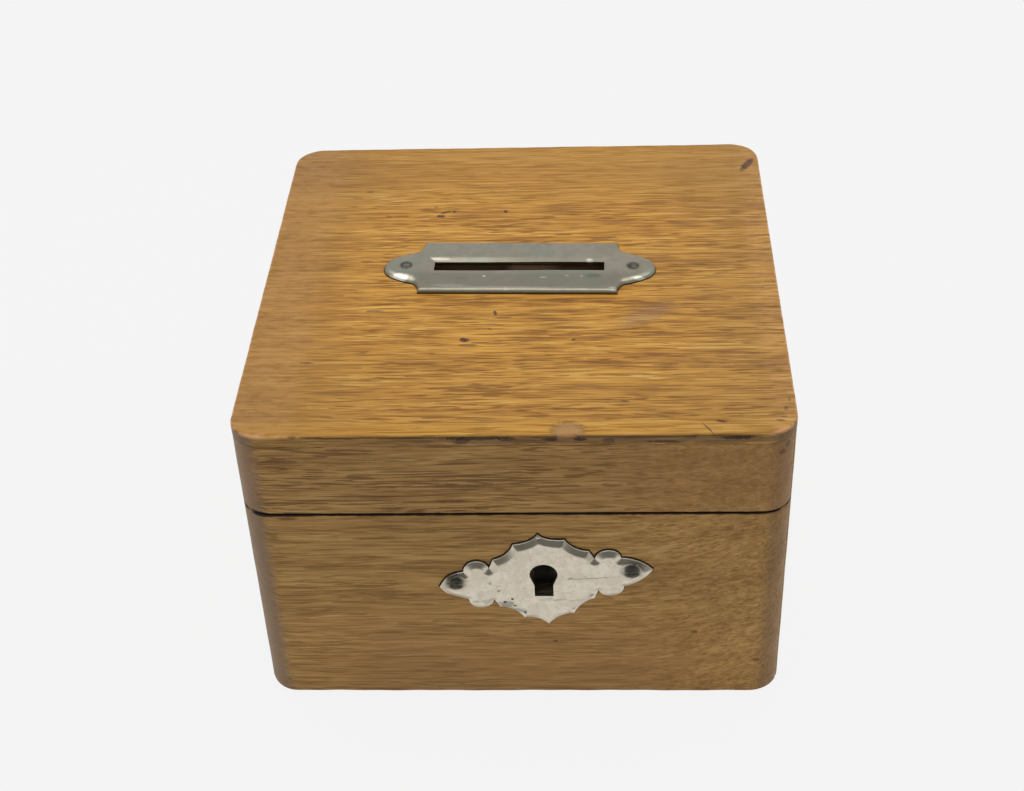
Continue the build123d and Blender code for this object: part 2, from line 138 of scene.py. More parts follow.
# %% [markdown]
# ## Camera
# The photograph was taken from the front, well above the box, with a normal lens a little over
# 400 mm away and turned slightly. The camera is placed by its bearing round the box, its height
# angle, its distance and its roll, all about one aim point.

# %% Place the camera
bearing = math.radians(3.487)
height_angle = math.radians(37.854)
roll = math.radians(-2.614)
distance = 426.54
aim = np.array([-3.043, 0.0, 41.79])


def placed(name, data):
    """A new object with this data, put in the scene."""
    made = bpy.data.objects.new(name, data)
    bpy.context.scene.collection.objects.link(made)
    return made


back = np.array([
    math.sin(bearing) * math.cos(height_angle),
    -math.cos(bearing) * math.cos(height_angle),
    math.sin(height_angle),
])
level = np.cross([0.0, 0.0, 1.0], back)
level /= np.linalg.norm(level)
upright = np.cross(back, level)
pose = np.eye(4)
pose[:3, 0] = level * math.cos(roll) + upright * math.sin(roll)
pose[:3, 1] = upright * math.cos(roll) - level * math.sin(roll)
pose[:3, 2] = back
pose[:3, 3] = (aim + distance * back) * MM
lens = bpy.data.cameras.new("camera")
lens.lens = 60.35
lens.sensor_width = 36.0
lens.sensor_fit = "HORIZONTAL"
lens.clip_start = 0.01
camera = placed("camera", lens)
camera.matrix_world = Matrix(pose.tolist())
bpy.context.scene.camera = camera
bpy.context.scene.view_settings.view_transform = "Standard"
print("camera at", (aim + distance * back).round(1), "mm")

# %% [markdown]
# ## Floor, world and lamps
# The photograph has an even pale ground and soft light: one large soft box over the object and a
# little behind it, and weak light from all round. Camera and mirror rays see the pale ground as
# a flat tone, and a share of the floor's own shading is kept, so that the box keeps its shadow.

# %% Set the floor and the world
pale = colour("F5F5F5")
floor_reach = 3000.0
flat_share = 0.96


def mesh_piece(name, points, faces):
    """A mesh object from points in millimetres."""
    mesh = bpy.data.meshes.new(name)
    mesh.from_pydata((np.asarray(points, float) * MM).tolist(), [], faces)
    mesh.validate()
    return placed(name, mesh)


def oblong(name, reach, near, far):
    """A flat piece between two level edges. Each edge runs from -reach to reach at its y and z."""
    corners = [(-reach, *near), (reach, *near), (reach, *far), (-reach, *far)]
    return mesh_piece(name, corners, [(0, 1, 2, 3)])


def seen_directly():
    """1 for camera, mirror and see-through rays, and 0 for the rays that light things."""
    rays = [add("LightPath", out=f"Is {kind} Ray") for kind in ("Camera", "Glossy", "Transmission")]
    return add("Math MAXIMUM", (add("Math MAXIMUM", rays[:2]), rays[2]))


floor = oblong("floor", floor_reach, (-floor_reach, 0.0), (floor_reach, 0.0))
dress(floor, new_material("matt_white_sweep"))
share = add("Math MULTIPLY", (seen_directly(), flat_share))
matt = add("BsdfDiffuse", {"Color": colour("EDEDEC")})
flat = add("Emission", {"Color": pale, "Strength": 1.0})
add("OutputMaterial", {"Surface": add("MixShader", (share, matt, flat))})

world = bpy.data.worlds.new("studio")
bpy.context.scene.world = world
world.use_nodes = True
work_on(world.node_tree)
lighting = add("Background", {"Color": colour("F2F3F6"), "Strength": 0.54})
ground = add("Background", {"Color": pale, "Strength": 1.0})
add("OutputWorld", {"Surface": add("MixShader", (seen_directly(), lighting, ground))})
print("floor and world set")

# %% [markdown]
# The soft box is an area lamp. A dark card leans in front of the box, because the upper bevels of
# the real keyhole plate mirror a dark room there, also where they turn sideways. The card is
# hidden from the camera itself.

# %% Hang the lamp and stand the card
soft_box = bpy.data.lights.new("soft_box", "AREA")
soft_box.shape = "RECTANGLE"
soft_box.size = 0.9
soft_box.size_y = 0.42
soft_box.energy = 3.0
soft_box.color = colour("FFFCF6")[:3]
lamp = placed("soft_box", soft_box)
lamp.location = (-0.05, 0.10, 0.62)
lamp.rotation_euler = (math.radians(-10), 0.0, 0.0)

card_reach = 420.0
card_foot, card_head = (-175.0, 1.0), (-335.0, 200.0)
card = oblong("dark_card", card_reach, card_foot, card_head)
dress(card, new_material("grey_felt"))
add("OutputMaterial", {"Surface": add("BsdfDiffuse", {"Color": colour("686A68")})})
card.visible_camera = False
print("soft box", soft_box.size, "by", soft_box.size_y, "m")

# %% [markdown]
# ## The shape of a worn board
# A board here is a stack of rings. Each ring is the board's outline seen from above, and near
# the foot and the head its outer stretch moves in along a quarter circle, so the edge is eased.
# The radius of that easing drifts along the edge, as it does on boards that hands have rubbed.
# This beats a bevel modifier, which eases every edge by the same amount.

# %% Make grids into skins


def waver(along, seed, lengths):
    """A smooth, repeatable unevenness about zero: cosines of the given wavelengths, each with a
    phase drawn from the seed, added up with weights that make the whole stay within about one."""
    draws = np.random.default_rng(seed)
    total = np.zeros(np.shape(along))
    for length in lengths:
        total += np.cos(2 * np.pi * np.asarray(along) / length + draws.uniform(0, 2 * np.pi))
    return total / len(lengths)


def skin(grid, loop_rows=False):
    """Quads over a grid of rows by columns, closed round the columns. Open rows get two caps."""
    here = np.arange(grid[..., 0].size).reshape(grid.shape[:2])
    after = np.roll(here, -1, axis=1)
    quads = np.stack([here, after, np.roll(after, -1, axis=0), np.roll(here, -1, axis=0)], axis=-1)
    if loop_rows:
        return grid.reshape(-1, 3), quads.reshape(-1, 4).tolist()
    caps = [here[0][::-1].tolist(), here[-1].tolist()]
    return grid.reshape(-1, 3), quads[:-1].reshape(-1, 4).tolist() + caps


def smooth(piece, degrees=40):
    """Shades a piece smooth, apart from edges sharper than the angle."""
    piece.data.polygons.foreach_set("use_smooth", [True] * len(piece.data.polygons))
    piece.data.set_sharp_from_angle(angle=math.radians(degrees))


print("waver from 0 to 60 mm", waver(np.linspace(0, 60, 4), 1, (17, 41)).round(2))

# %% [markdown]
# Plan outlines are complex numbers: x is the real part and y the imaginary part, which makes a
# quarter turn a multiplication by i. The front board wraps round both rounded corners and laps
# over the ends of the side boards, so its outline is two arcs, three straights and the step.

# %% Plan outlines of the boards
run_step = 0.9
arc_points = 14


def steps(start, end, spacing):
    """Evenly spaced points from start up to, not including, end."""
    count = max(int(abs(end - start) / spacing), 2)
    return start + (end - start) * np.arange(count) / count


def run(start, end):
    """Points of a straight side, with their outward normals."""
    points = steps(start, end, run_step)
    return points, np.full(len(points), -1j * (end - start) / abs(end - start))


def bow(centre, start, end):
    """Points on the corner circle between two angles in degrees, with their outward normals."""
    angles = np.radians(np.linspace(start, end, arc_points, endpoint=False))
    heading = np.exp(1j * angles)
    return centre + corner_radius * heading, heading


def joined(*stretches):
    """Stretches of outline one after the other: all points, then all normals."""
    return [np.concatenate(parts) for parts in zip(*stretches)]


def lying(plan, z):
    """Points of a plan, x + iy, at their heights."""
    return np.stack([plan.real, plan.imag, np.broadcast_to(z, plan.shape)], axis=-1)


def way_along(points):
    """How far along its outline each point lies."""
    return np.concatenate([[0.0], np.cumsum(np.abs(np.diff(points)))])


lap_angle = math.degrees(math.asin((lap_y - corner_start) / corner_radius))
right_corner = complex(corner_start, -corner_start)
lap_heading = np.exp(-1j * math.radians(lap_angle))
lap_point = right_corner + corner_radius * lap_heading
front_outer = joined(
    bow(complex(-corner_start, -corner_start), 180 + lap_angle, 270),
    run(complex(-corner_start, -half), complex(corner_start, -half)),
    bow(right_corner, -90, -lap_angle),
    (np.array([lap_point]), np.array([lap_heading])),
)
front_inner = np.array([inner - 1j * lap_y, inner - 1j * inner, -inner - 1j * inner, -inner - 1j * lap_y])
side_outer = joined(
    bow(right_corner, -lap_angle, 0),
    run(complex(half, -corner_start), complex(half, corner_start)),
    bow(complex(corner_start, corner_start), 0, lap_angle),
    (np.array([lap_point.conjugate()]), np.array([lap_heading.conjugate()])),
)
side_inner = np.array([inner + 1j * lap_y, inner - 1j * lap_y])
print("front outline", len(front_outer[0]), "points, side outline", len(side_outer[0]))

# %% [markdown]
# The rings are then placed. At the joints between boards the easing is only a hair, which leaves
# the fine dark line of a glued corner. At the seam between lid and base it is larger, and at the
# foot and at the top edge larger still.

# %% Stack the rings of a board
ease_steps = 6
mid_rows = 26
joint_ease, seam_ease, foot_ease = 0.12, 0.32, 0.8


def worn_board(name, outer, inner_points, turn, z0, z1, foot, head, seed):
    """A board between z0 and z1. At angle q of the easing, a ring lies radius * (1 - cos q) from
    the board's end and its outer points lie radius * (1 - sin q) further in. The outer face is
    hollowed a few hundredths of a millimetre, as a plane and sandpaper leave it."""
    points, normals = outer[0] * turn, outer[1] * turn
    along = way_along(points)
    still = np.zeros(len(inner_points))
    ends = np.minimum(along, along[-1] - along)
    joint = joint_ease * np.clip(1 - ends / joint_ease, 0, 1) ** 2
    radii = []
    for size, shift in ((foot, 0), (head, 50)):
        drift = 1 + 0.28 * waver(along, seed + shift, (9.0, 23.0, 61.0))
        radii.append(np.concatenate([size * drift, still + min(size, joint_ease)]))
    plan, normal, pinch, reach_along = [
        np.concatenate(pair)
        for pair in ((points, inner_points * turn), (normals, still), (joint, still), (along, still))
    ]
    q = np.radians(np.linspace(0, 90, ease_steps))[:, None]
    foot_z = z0 + radii[0] * (1 - np.cos(q))
    head_z = z1 - radii[1] * (1 - np.cos(q[::-1]))
    share = np.linspace(0, 1, mid_rows + 2)[1:-1, None]
    middle_z = foot_z[-1] + share * (head_z[0] - foot_z[-1])
    inset = np.concatenate([
        radii[0] * (1 - np.sin(q)),
        np.zeros((mid_rows, len(plan))),
        radii[1] * (1 - np.sin(q[::-1])),
    ])
    z = np.concatenate([foot_z, middle_z, head_z])
    hollow = 0.05 * (1 + waver(reach_along + 3 * z, seed + 90, (37.0, 71.0))) / 2
    piece = mesh_piece(name, *skin(lying(plan - normal * (inset + pinch + hollow), z)))
    smooth(piece)
    return piece


boards = {}
for body, z0, z1, foot, head, seed in (
    ("base", 0.0, base_top, foot_ease, seam_ease, 10),
    ("lid", lid_rim, lip_foot, seam_ease, joint_ease, 20),
):
    for offset, (side, outer, inner_points, turn) in enumerate((
        ("front", front_outer, front_inner, 1),
        ("back", front_outer, front_inner, -1),
        ("right", side_outer, side_inner, 1),
        ("left", side_outer, side_inner, -1),
    )):
        name = f"{body}_{side}"
        boards[name] = worn_board(
            f"worn_{name}", outer, inner_points, turn, z0, z1, foot, head, seed + offset
        )
print("boards", {name: len(piece.data.polygons) for name, piece in boards.items()})

# %% [markdown]
# ## The lid's board
# The lid's board has a slot right through it, so its skin is a ring that closes both ways, like
# a picture frame's. Each row is the same run of points: straight sides and corner arcs of some
# rectangle. The rows start at the slot, cross the top to the eased edge, go down the lip, back
# under it, round the plug that sits inside the frame, and up the slot's walls to the start.

# %% Rows of the lid's board
side_points = 150
corner_points = 16
slot_long, slot_wide, slot_corner = 41.6, 4.9, 0.3
slot_middle = complex(*(sum(box_mm("coin_slot_plate")) / 2)[:2])
slot_tilt = math.radians(-1.5)
slot_turn = np.exp(1j * slot_tilt)


def rounded_rectangle(half_x, half_y, radius):
    """Plan points and normals, anticlockwise from the front side's left end: four straights, each
    followed by a quarter circle. Every size has the same count, so rows match point for point."""
    step = np.arange(side_points) / side_points
    angle = np.exp(1j * np.pi / 2 * (np.arange(corner_points) / corner_points - 1))
    points, normals = [], []
    for k, (a, b) in enumerate(((half_x, half_y), (half_y, half_x)) * 2):
        straight = (2 * step - 1) * (a - radius) - 1j * b
        corner = a - radius - 1j * (b - radius) + radius * angle
        points += [straight * 1j**k, corner * 1j**k]
        normals += [np.full(side_points, -1j) * 1j**k, angle * 1j**k]
    return np.concatenate(points), np.concatenate(normals)


outline, outline_normal = rounded_rectangle(half, half, corner_radius)
plug = rounded_rectangle(inner, inner, slot_corner)[0]
slot_ring = slot_middle + slot_turn * rounded_rectangle(slot_long / 2, slot_wide / 2, slot_corner)[0]
print("points in a row", len(outline))

# %% [markdown]
# The top front edge is the most worn place: rubbed lighter at both corners, ragged near the left
# one, and with one flake broken off right of the middle. The easing radius grows there, and the
# flake is a shallow oval scoop that the points inside it are pressed down by.

# %% Wear on the lid's edge
top_edge = 0.6
flake_middle, flake_reach, flake_deep = (11.7, -58.6), (3.7, 3.2), 0.34
coarse_rows, fine_rows, fine_from = 34, 18, 0.88
edge_zone_deep = 2.0


def swell(share):
    """One where the share is 0, falling to nothing where it is 1, with a soft shoulder."""
    return (1 - np.clip(share, 0, 1) ** 2) ** 2


def scooped(x, y, z, centre, reach, depth):
    """The height z, lowered by up to depth inside an oval with a sharp rim and a flat floor."""
    away = ((x - centre[0]) / reach[0]) ** 2 + ((y - centre[1]) / reach[1]) ** 2
    return z - depth * np.clip(1.6 * (1 - away), 0, 1)


front_side = outline.imag < -half + edge_zone_deep
splinters = 1 + waver(outline.real, 33, (1.1, 2.3))
edge_radius = top_edge * (1 + 0.22 * waver(way_along(outline), 31, (7.0, 19.0, 47.0)))
for growth, centre, width, raggedness in (
    (0.6, -53.0, 8.0, 1), (0.35, -43.0, 5.0, splinters), (0.5, 56.0, 5.0, 1), (0.3, 11.5, 3.6, 1),
):
    edge_radius += front_side * growth * swell(np.abs(outline.real - centre) / width) * raggedness

top_rows = np.concatenate([
    np.linspace(0, fine_from, coarse_rows, endpoint=False), np.linspace(fine_from, 1, fine_rows),
])[:, None]
shoulder = outline - outline_normal * edge_radius
flat_rows = slot_ring + top_rows * (shoulder - slot_ring)
q = np.radians(np.linspace(0, 90, 8))[1:, None]
edge_rows = outline - outline_normal * edge_radius * (1 - np.sin(q))
edge_z = lid_top_z - edge_radius * (1 - np.cos(q))
lip_share = np.array([0.35, 0.7, 1.0])[:, None]
lip_z = edge_z[-1] + lip_share * (lip_foot + joint_ease - edge_z[-1])
under_rows = np.stack([
    outline - outline_normal * joint_ease, plug, plug, 0.5 * (plug + slot_ring), slot_ring, slot_ring,
])
steps_down = [lip_foot, lip_foot, board_foot, board_foot, board_foot, (board_foot + lid_top_z) / 2]
under_z = np.broadcast_to(np.array(steps_down)[:, None], under_rows.shape)
plan = np.concatenate([flat_rows, edge_rows, np.broadcast_to(outline, lip_z.shape), under_rows])
height = np.concatenate([np.full(flat_rows.shape, lid_top_z), edge_z, lip_z, under_z])
flake = scooped(plan.real, plan.imag, height, flake_middle, flake_reach, flake_deep)
height = np.where(height > lid_top_z - edge_zone_deep, flake, height)
lid_board = mesh_piece("worn_lid_top", *skin(lying(plan, height)[::-1], loop_rows=True))
smooth(lid_board, 50)
boards["lid_top"] = lid_board
print("lid board", len(lid_board.data.polygons), "faces")

# %% [markdown]
# ## The bottom board
# It is let into grooves in the walls and shows only from below and with the lid open. A plain
# stack of rings is enough, with hair-fine easing.

# %% Make the bottom board
bottom_low, bottom_high = box_mm("base_bottom")
square = np.array([-1 - 1j, 1 - 1j, 1 + 1j, -1 + 1j])
bottom_rings = [
    lying(square * (bottom_high[0] - inset), z)
    for z, inset in ((0.0, joint_ease), (joint_ease, 0.0), (bottom_high[2], 0.0))
]
boards["base_bottom"] = mesh_piece("worn_base_bottom", *skin(np.stack(bottom_rings)))
print("bottom board", bottom_low.round(2), bottom_high.round(2))

# %% [markdown]
# ## Cutting the seats
# A joiner cuts the seats for hinges, lock and plates after the case is glued, and the boards are
# cut here the same way, with a boolean cut for each seat. Screws and pins cut their own holes,
# with a merged copy of their mesh.

# %% Cutters
weld_distance = 0.000002


def block(low, high):
    """A box between two corners in millimetres."""
    x, y, z = zip(low, high)
    ring = np.array([x[0] + 1j * y[0], x[1] + 1j * y[0], x[1] + 1j * y[1], x[0] + 1j * y[1]])
    return mesh_piece("cutter", *skin(np.stack([lying(ring, height) for height in z])))


def bar(start, end, radius, sides=48):
    """A round bar: circles round the axis at start and at end. The axis runs along x, y or z."""
    start, end = np.array(start, float), np.array(end, float)
    axis = (end - start) / np.linalg.norm(end - start)
    one = np.cross(axis, [0.0, 0.0, 1.0] if abs(axis[2]) < 0.5 else [1.0, 0.0, 0.0])
    two = np.cross(axis, one)
    turn = 2 * np.pi * np.arange(sides)[:, None] / sides
    circle = radius * (np.cos(turn) * one + np.sin(turn) * two)
    return mesh_piece("cutter", *skin(np.stack([circle + start, circle + end])))


def settle(piece):
    """Replaces a piece's mesh by what its modifiers make of it."""
    graph = bpy.context.evaluated_depsgraph_get()
    made = bpy.data.meshes.new_from_object(piece.evaluated_get(graph))
    piece.modifiers.clear()
    piece.data = made


def copy_of(node):
    """A copy of a node's mesh as one closed skin."""
    piece = placed("cutter", frame["nodes"][node].data.copy())
    piece.modifiers.new("weld", "WELD").merge_threshold = weld_distance
    settle(piece)
    return piece


def cut(piece, *cutters):
    """Cuts each cutter out of the piece and throws it away."""
    for cutter in cutters:
        step = piece.modifiers.new("cut", "BOOLEAN")
        step.operation = "DIFFERENCE"
        step.solver = "EXACT"
        step.object = cutter
        settle(piece)
        bpy.data.objects.remove(cutter)
    smooth(piece)


print("cutters ready")

# %% [markdown]
# The hinge leaves lie in shallow seats open to the back, and the knuckles need a round hollow.
# A cutter that ends in the open reaches a millimetre past the wood, so no skin is left over.

# %% Cut the hinges' seats
knuckle_hollow, hollow_end = 1.8, 0.2
past = 1.0
for side in ("left", "right"):
    pin_low, pin_high = box_mm(f"hinge_{side}_pin")
    hinge_y, hinge_z = (pin_low[1:] + pin_high[1:]) / 2
    hollow_left = (pin_low[0] - hollow_end, hinge_y, hinge_z)
    hollow_right = (pin_high[0] + hollow_end, hinge_y, hinge_z)
    for body, seam in (("base", base_top), ("lid", lid_rim)):
        low, high = box_mm(f"hinge_{side}_{body}_leaf")
        seat = block((low[0], low[1], seam - past), (high[0], half + past, seam + past))
        cut(boards[f"{body}_back"], seat, bar(hollow_left, hollow_right, knuckle_hollow))
for body in ("base", "lid"):
    cut(boards[f"{body}_back"], copy_of(f"hinge_{body}_screws"))
print("hinge seats cut")

# %% [markdown]
# The lock takes a stepped recess out of the front board's inner face: a shallow step for its
# plate, one for the plate's turned-over top and a deep one for its case. The link plate that the
# bolt holds takes a shallow seat out of the lid's rim.

# %% Cut the lock's recess and the link plate's seat
plate_low, plate_high = box_mm("lock_plate")
cap_low, cap_high = box_mm("lock_cap")
back_plate = 1.2
inside, above = plate_high[1] + past, base_top + past
cut(
    boards["base_front"],
    block((plate_low[0], plate_high[1] - back_plate, plate_low[2]), (plate_high[0], inside, above)),
    block((plate_low[0], cap_low[1], base_top - back_plate), (plate_high[0], inside, above)),
    block(cap_low, (cap_high[0], inside, above)),
    copy_of("lock_screws"),
)
link_low, link_high = box_mm("link_plate")
cut(
    boards["lid_front"],
    block((link_low[0], link_low[1], lid_rim - past), link_high),
    copy_of("link_plate_screws"),
)
cut(boards["lid_top"], copy_of("slot_plate_pins"))
print("base front", len(boards["base_front"].data.polygons), "faces")

# %% [markdown]
# The keyhole is a round head, a neck that narrows from the head's flanks, and a straight foot,
# and it stands plumb in its crooked plate. Its outline is one circular arc closed by five
# straight sides. The hole in the wood is a little larger than the one in the plate.

# %% Cut the keyhole
key_middle = sum(box_mm("lock_key_post")) / 2
head_radius, flank_drop, neck_drop, foot_half, foot_drop = 3.1, 0.65, 3.2, 2.1, 6.5
wood_clearance, keyhole_deep = 0.4, 4.5


def standing(drawing, y):
    """Points of an upright drawing, x + iz, at their depths."""
    return np.stack([drawing.real, np.broadcast_to(y, drawing.shape), drawing.imag], axis=-1)


def keyhole_bar(grow, start_y, end_y):
    """A bar of the keyhole's outline, grown by some millimetres, between two depths."""
    radius, side = head_radius + grow, foot_half + grow
    start = -math.asin(flank_drop / radius)
    arc = radius * np.exp(1j * np.linspace(start, np.pi - start, 60))
    neck, foot = -1j * neck_drop, -1j * (foot_drop + grow)
    ring = np.concatenate([arc, [neck - side, foot - side, foot + side, neck + side]])
    ring = ring + complex(key_middle[0], key_middle[2])
    return mesh_piece("cutter", *skin(np.stack([standing(ring, y) for y in (start_y, end_y)])))


cut(boards["base_front"], keyhole_bar(wood_clearance, -half + keyhole_deep, -half - past))
print("keyhole at", key_middle.round(2))

# %% [markdown]
# ## The two plates
# Both plates were stamped from sheet, with the border pressed down to a bevel, and then nailed on
# and knocked about for a lifetime. The model has their clean shapes. They are made again here as
# worn surfaces, because metal this old shows its wear in what it mirrors: a soft bevel, a dent or
# a rounded edge each catch another part of the room. Only a quarter of each outline is drawn, and
# the rest mirrors it. The curves are arcs through three points.

# %% Outlines of the plates
plate_step = 0.18


def arc_through(start, through, end):
    """Points on the arc from start through a point up to end, not including it. The circle's
    middle is where the two chords' bisectors meet, and equal turns about it give equal steps."""
    ratio = (end - start) / (through - start)
    middle = start + (through - start) * (ratio - abs(ratio) ** 2) / (ratio - ratio.conjugate())
    turn = np.angle((end - middle) / (start - middle))
    way = np.sign(((end - through) * (through - start).conjugate()).imag)
    if turn * way < 0:
        turn += 2 * np.pi * way
    count = max(int(abs(turn * (start - middle)) / plate_step), 3)
    return middle + (start - middle) * np.exp(1j * turn * np.arange(count) / count)


def scallop(start, end, bite):
    """An arc that bows inward from its chord by the bite."""
    return arc_through(start, (start + end) / 2 - 1j * bite * (end - start) / abs(end - start), end)


slot_quarter = np.concatenate([
    steps(0 + 10.3j, 23.3 + 10.3j, plate_step),
    scallop(23.3 + 10.3j, 24.6 + 6.6j, 0.4),
    arc_through(24.6 + 6.6j, 27.4 + 5.56j, 30.0 + 4.1j),
    arc_through(30.0 + 4.1j, 31.62 + 2.33j, 32.2 + 0j),
    [32.2 + 0j],
])
key_quarter = np.concatenate([
    scallop(0 + 14.0j, 5.75 + 11.15j, 0.85),
    scallop(5.75 + 11.15j, 10.7 + 7.2j, 0.85),
    steps(10.7 + 7.2j, 11.8 + 4.9j, plate_step),
    arc_through(11.8 + 4.9j, 14.8 + 7.2j, 17.6 + 4.3j),
    arc_through(17.6 + 4.3j, 20.6 + 3.3j, 24.3 + 0j),
    [24.3 + 0j],
])
print("quarter outlines", len(slot_quarter), "and", len(key_quarter), "points")

# %% [markdown]
# A plate is a row of rings, one across it at every point of its outline. The underside is flat.
# On top, the height is a function of the place and of the distance from the border, so bevels
# meet in creases at the cusps by themselves, as they do in a real die.

# %% Rings of a worn plate
edge_zone = np.array([0, 0.02, 0.06, 0.12, 0.2, 0.3, 0.42, 0.58, 0.78, 1.0, 1.25, 1.55, 1.9])
across_points = 84
least_half_width, least_step = 0.03, 0.00001
above_plate = 2.0


def from_border(points, quarter):
    """How far each point lies from the border: the least distance to any of the outline's short
    steps, with the point folded into the quarter that is drawn."""
    folded = (np.abs(points.real) + 1j * np.abs(points.imag))[..., None]
    start, step = quarter[:-1], np.diff(quarter)
    share = np.clip(((folded - start) * step.conjugate()).real / np.abs(step) ** 2, 0, 1)
    return np.abs(folded - start - share * step).min(axis=-1)


def worn_plate(name, quarter, height, carry):
    """Rings across a plate. Rows lie closest near the border, and there they keep their distance
    to it, apart from the narrow ends, where they close up in step with the width."""
    x = np.concatenate([-quarter.real[::-1], quarter.real[1:]])
    x = np.maximum.accumulate(x + least_step * np.arange(len(x)))[:, None]
    upper = np.concatenate([quarter.imag[::-1], quarter.imag[1:]])
    upper = np.maximum(upper, least_half_width)[:, None]
    edge = np.minimum(1, 0.6 * upper / edge_zone[-1]) * edge_zone
    middle = (upper - edge[:, -1:]) * np.linspace(1, -1, across_points)[1:-1]
    y = np.concatenate([upper - edge, middle, edge[:, ::-1] - upper], axis=1)
    z = height(x + 1j * y, from_border(x + 1j * y, quarter))
    y = np.concatenate([-upper, upper, y], axis=1)
    z = np.concatenate([0 * upper, 0 * upper, z], axis=1)
    piece = mesh_piece(name, *skin(carry(x + 1j * y, z)))
    smooth(piece)
    return piece


def pressed(depth, width, soft):
    """A ramp from 1 at depth 0 to 0 at the given width, with its upper corner rounded: half the
    sum of the ramp and of the square root of its square plus the softness squared."""
    slope = 1 - depth / width
    return 0.5 * (slope + np.sqrt(slope**2 + soft**2))


def eased(depth, radius):
    """How far a border rounded to this radius has dropped: a quarter circle."""
    return radius * (1 - np.sqrt(1 - np.clip(1 - depth / radius, 0, 1) ** 2))


def dented(points, marks):
    """The depth of all dents: each a smooth hollow with a middle, two half widths and a depth."""
    total = np.zeros(points.shape)
    for centre, wide, high, depth in marks:
        away = points - centre
        total += depth * swell(np.hypot(away.real / wide, away.imag / high))
    return total


def pin_bars(carry, places, radius, foot):
    """Bars a hair wider than pins' shanks, from a foot in the wood to above the plate."""
    places = [np.array(place) for place in places]
    return [bar(carry(place, foot), carry(place, above_plate), radius) for place in places]


print("rows across a plate", 2 * len(edge_zone) + across_points - 2)

# %% [markdown]
# The coin-slot plate lies on the lid, turned by a degree and a half. Its long bevels are nearly
# worn away, the lobes' bevels are steeper, and the rim slopes down to the slot. Coins and keys
# have left dents along the near side of the slot and a nick in its far rim.

# %% The coin-slot plate
slot_plate_thick = 1.2
slot_half_long, slot_half_wide = 20.1, 1.75
slot_pins = (-26.8 + 0j, 26.8 + 0j)
slot_pin_hole = (0.72, -1.0)
slot_dents = (
    (-8.1 - 4.9j, 0.8, 0.7, 0.05), (5.8 - 5.2j, 1.0, 0.5, 0.04), (11.5 - 4.6j, 0.8, 0.6, 0.04),
    (14.9 - 4.6j, 0.8, 0.6, 0.04), (16.6 + 2.2j, 1.2, 0.8, 0.16), (17.6 - 4.1j, 1.6, 0.9, 0.05),
    (22.3 - 9.3j, 1.3, 1.0, 0.08), (-2.6 - 9.6j, 0.7, 0.5, 0.05), (-17.4 + 3.6j, 2.4, 0.7, 0.05),
    (-12.6 - 5.4j, 1.6, 1.0, 0.05), (-20.6 - 5.8j, 2.0, 1.2, 0.04),
)


def slot_plate_height(points, depth):
    """Thickness, less a bevel, a rounded border, the rim's slope, a faint sag and the dents."""
    x, y = points.real, points.imag
    lobe = np.clip((np.abs(x) - 23.0) / 2.0, 0, 1)
    drop = 0.16 + lobe * np.where(x < 0, 0.50, 0.32)
    width = 1.5 * (1 + 0.12 * waver(x, 71, (11.0, 29.0)))
    rim = np.maximum(np.abs(x) - slot_half_long, np.abs(y) - slot_half_wide)
    rim_drop = 0.38 - 0.2 * np.clip((x + 9.0) / 16.0, 0, 1)
    z = slot_plate_thick - drop * pressed(depth, width, 0.25) - eased(depth, 0.8)
    z = z - rim_drop * pressed(np.maximum(rim, 0), 1.8, 0.12)
    z = z - 0.012 * (1 + waver(x + 0.7 * y, 72, (9.0, 17.0, 31.0)))
    return z - dented(points, slot_dents)


def on_lid(points, z):
    """Carries points of the coin-slot plate to their place on the lid."""
    return lying(slot_middle + slot_turn * points, lid_top_z + z)


slot_plate = worn_plate("worn_coin_slot_plate", slot_quarter, slot_plate_height, on_lid)
slot_corners = slot_half_long * square.real + 1j * slot_half_wide * square.imag
slot_rows = np.stack([on_lid(slot_corners, z) for z in (-past, above_plate)])
cut(slot_plate, mesh_piece("cutter", *skin(slot_rows)), *pin_bars(on_lid, slot_pins, *slot_pin_hole))
print("coin-slot plate", len(slot_plate.data.polygons), "faces")

# %% [markdown]
# The keyhole plate hangs on the front, seven degrees out of true. It is soft metal and has been
# bent a little out of its true pattern: it leans, its crown is worn down and its left leaf is
# pushed up. Its pins sit in small dishes, its bevels are still crisp, and there are pits along
# its lower left border.

# %% The keyhole plate
key_plate_middle = sum(box_mm("keyhole_escutcheon")) / 2
key_plate_middle = complex(key_plate_middle[0], key_plate_middle[2])
key_tilt = math.radians(6.8)
key_plate_thick = 1.1
key_pins = (-19.75 + 2.1j, 19.55 + 0.85j)
key_pin_hole = (0.67, -4.1)
key_pits = (
    (-9.8 - 5.2j, 0.7, 0.5, 0.16), (-8.0 - 4.5j, 0.5, 0.5, 0.14), (-5.7 - 9.1j, 0.6, 0.8, 0.2),
    (-10.6 - 1.6j, 0.6, 0.5, 0.12), (-7.7 - 6.7j, 0.7, 0.5, 0.16), (9.8 - 5.6j, 0.6, 0.5, 0.14),
    (5.3 - 9.5j, 0.6, 0.5, 0.14), (-12.2 + 1.0j, 0.6, 0.5, 0.08), (0.4 + 12.2j, 0.7, 0.5, 0.15),
)
key_pushes = (
    (14j, 5.0, -0.55j), (14.8 + 7j, 5.0, -0.3j), (-14.8 - 6j, 4.5, 0.3j), (14.8 - 6j, 4.5, 0.4j),
    (-20 - 3.5j, 4.5, 0.7j), (-25 + 0j, 9.0, 0.5j), (-14j, 5.0, -0.35 + 0j), (7 - 9j, 4.0, -0.15j),
    (-24.6 + 0j, 4.5, 0.75 + 0j), (-20 + 4j, 4.0, 0.25j),
)


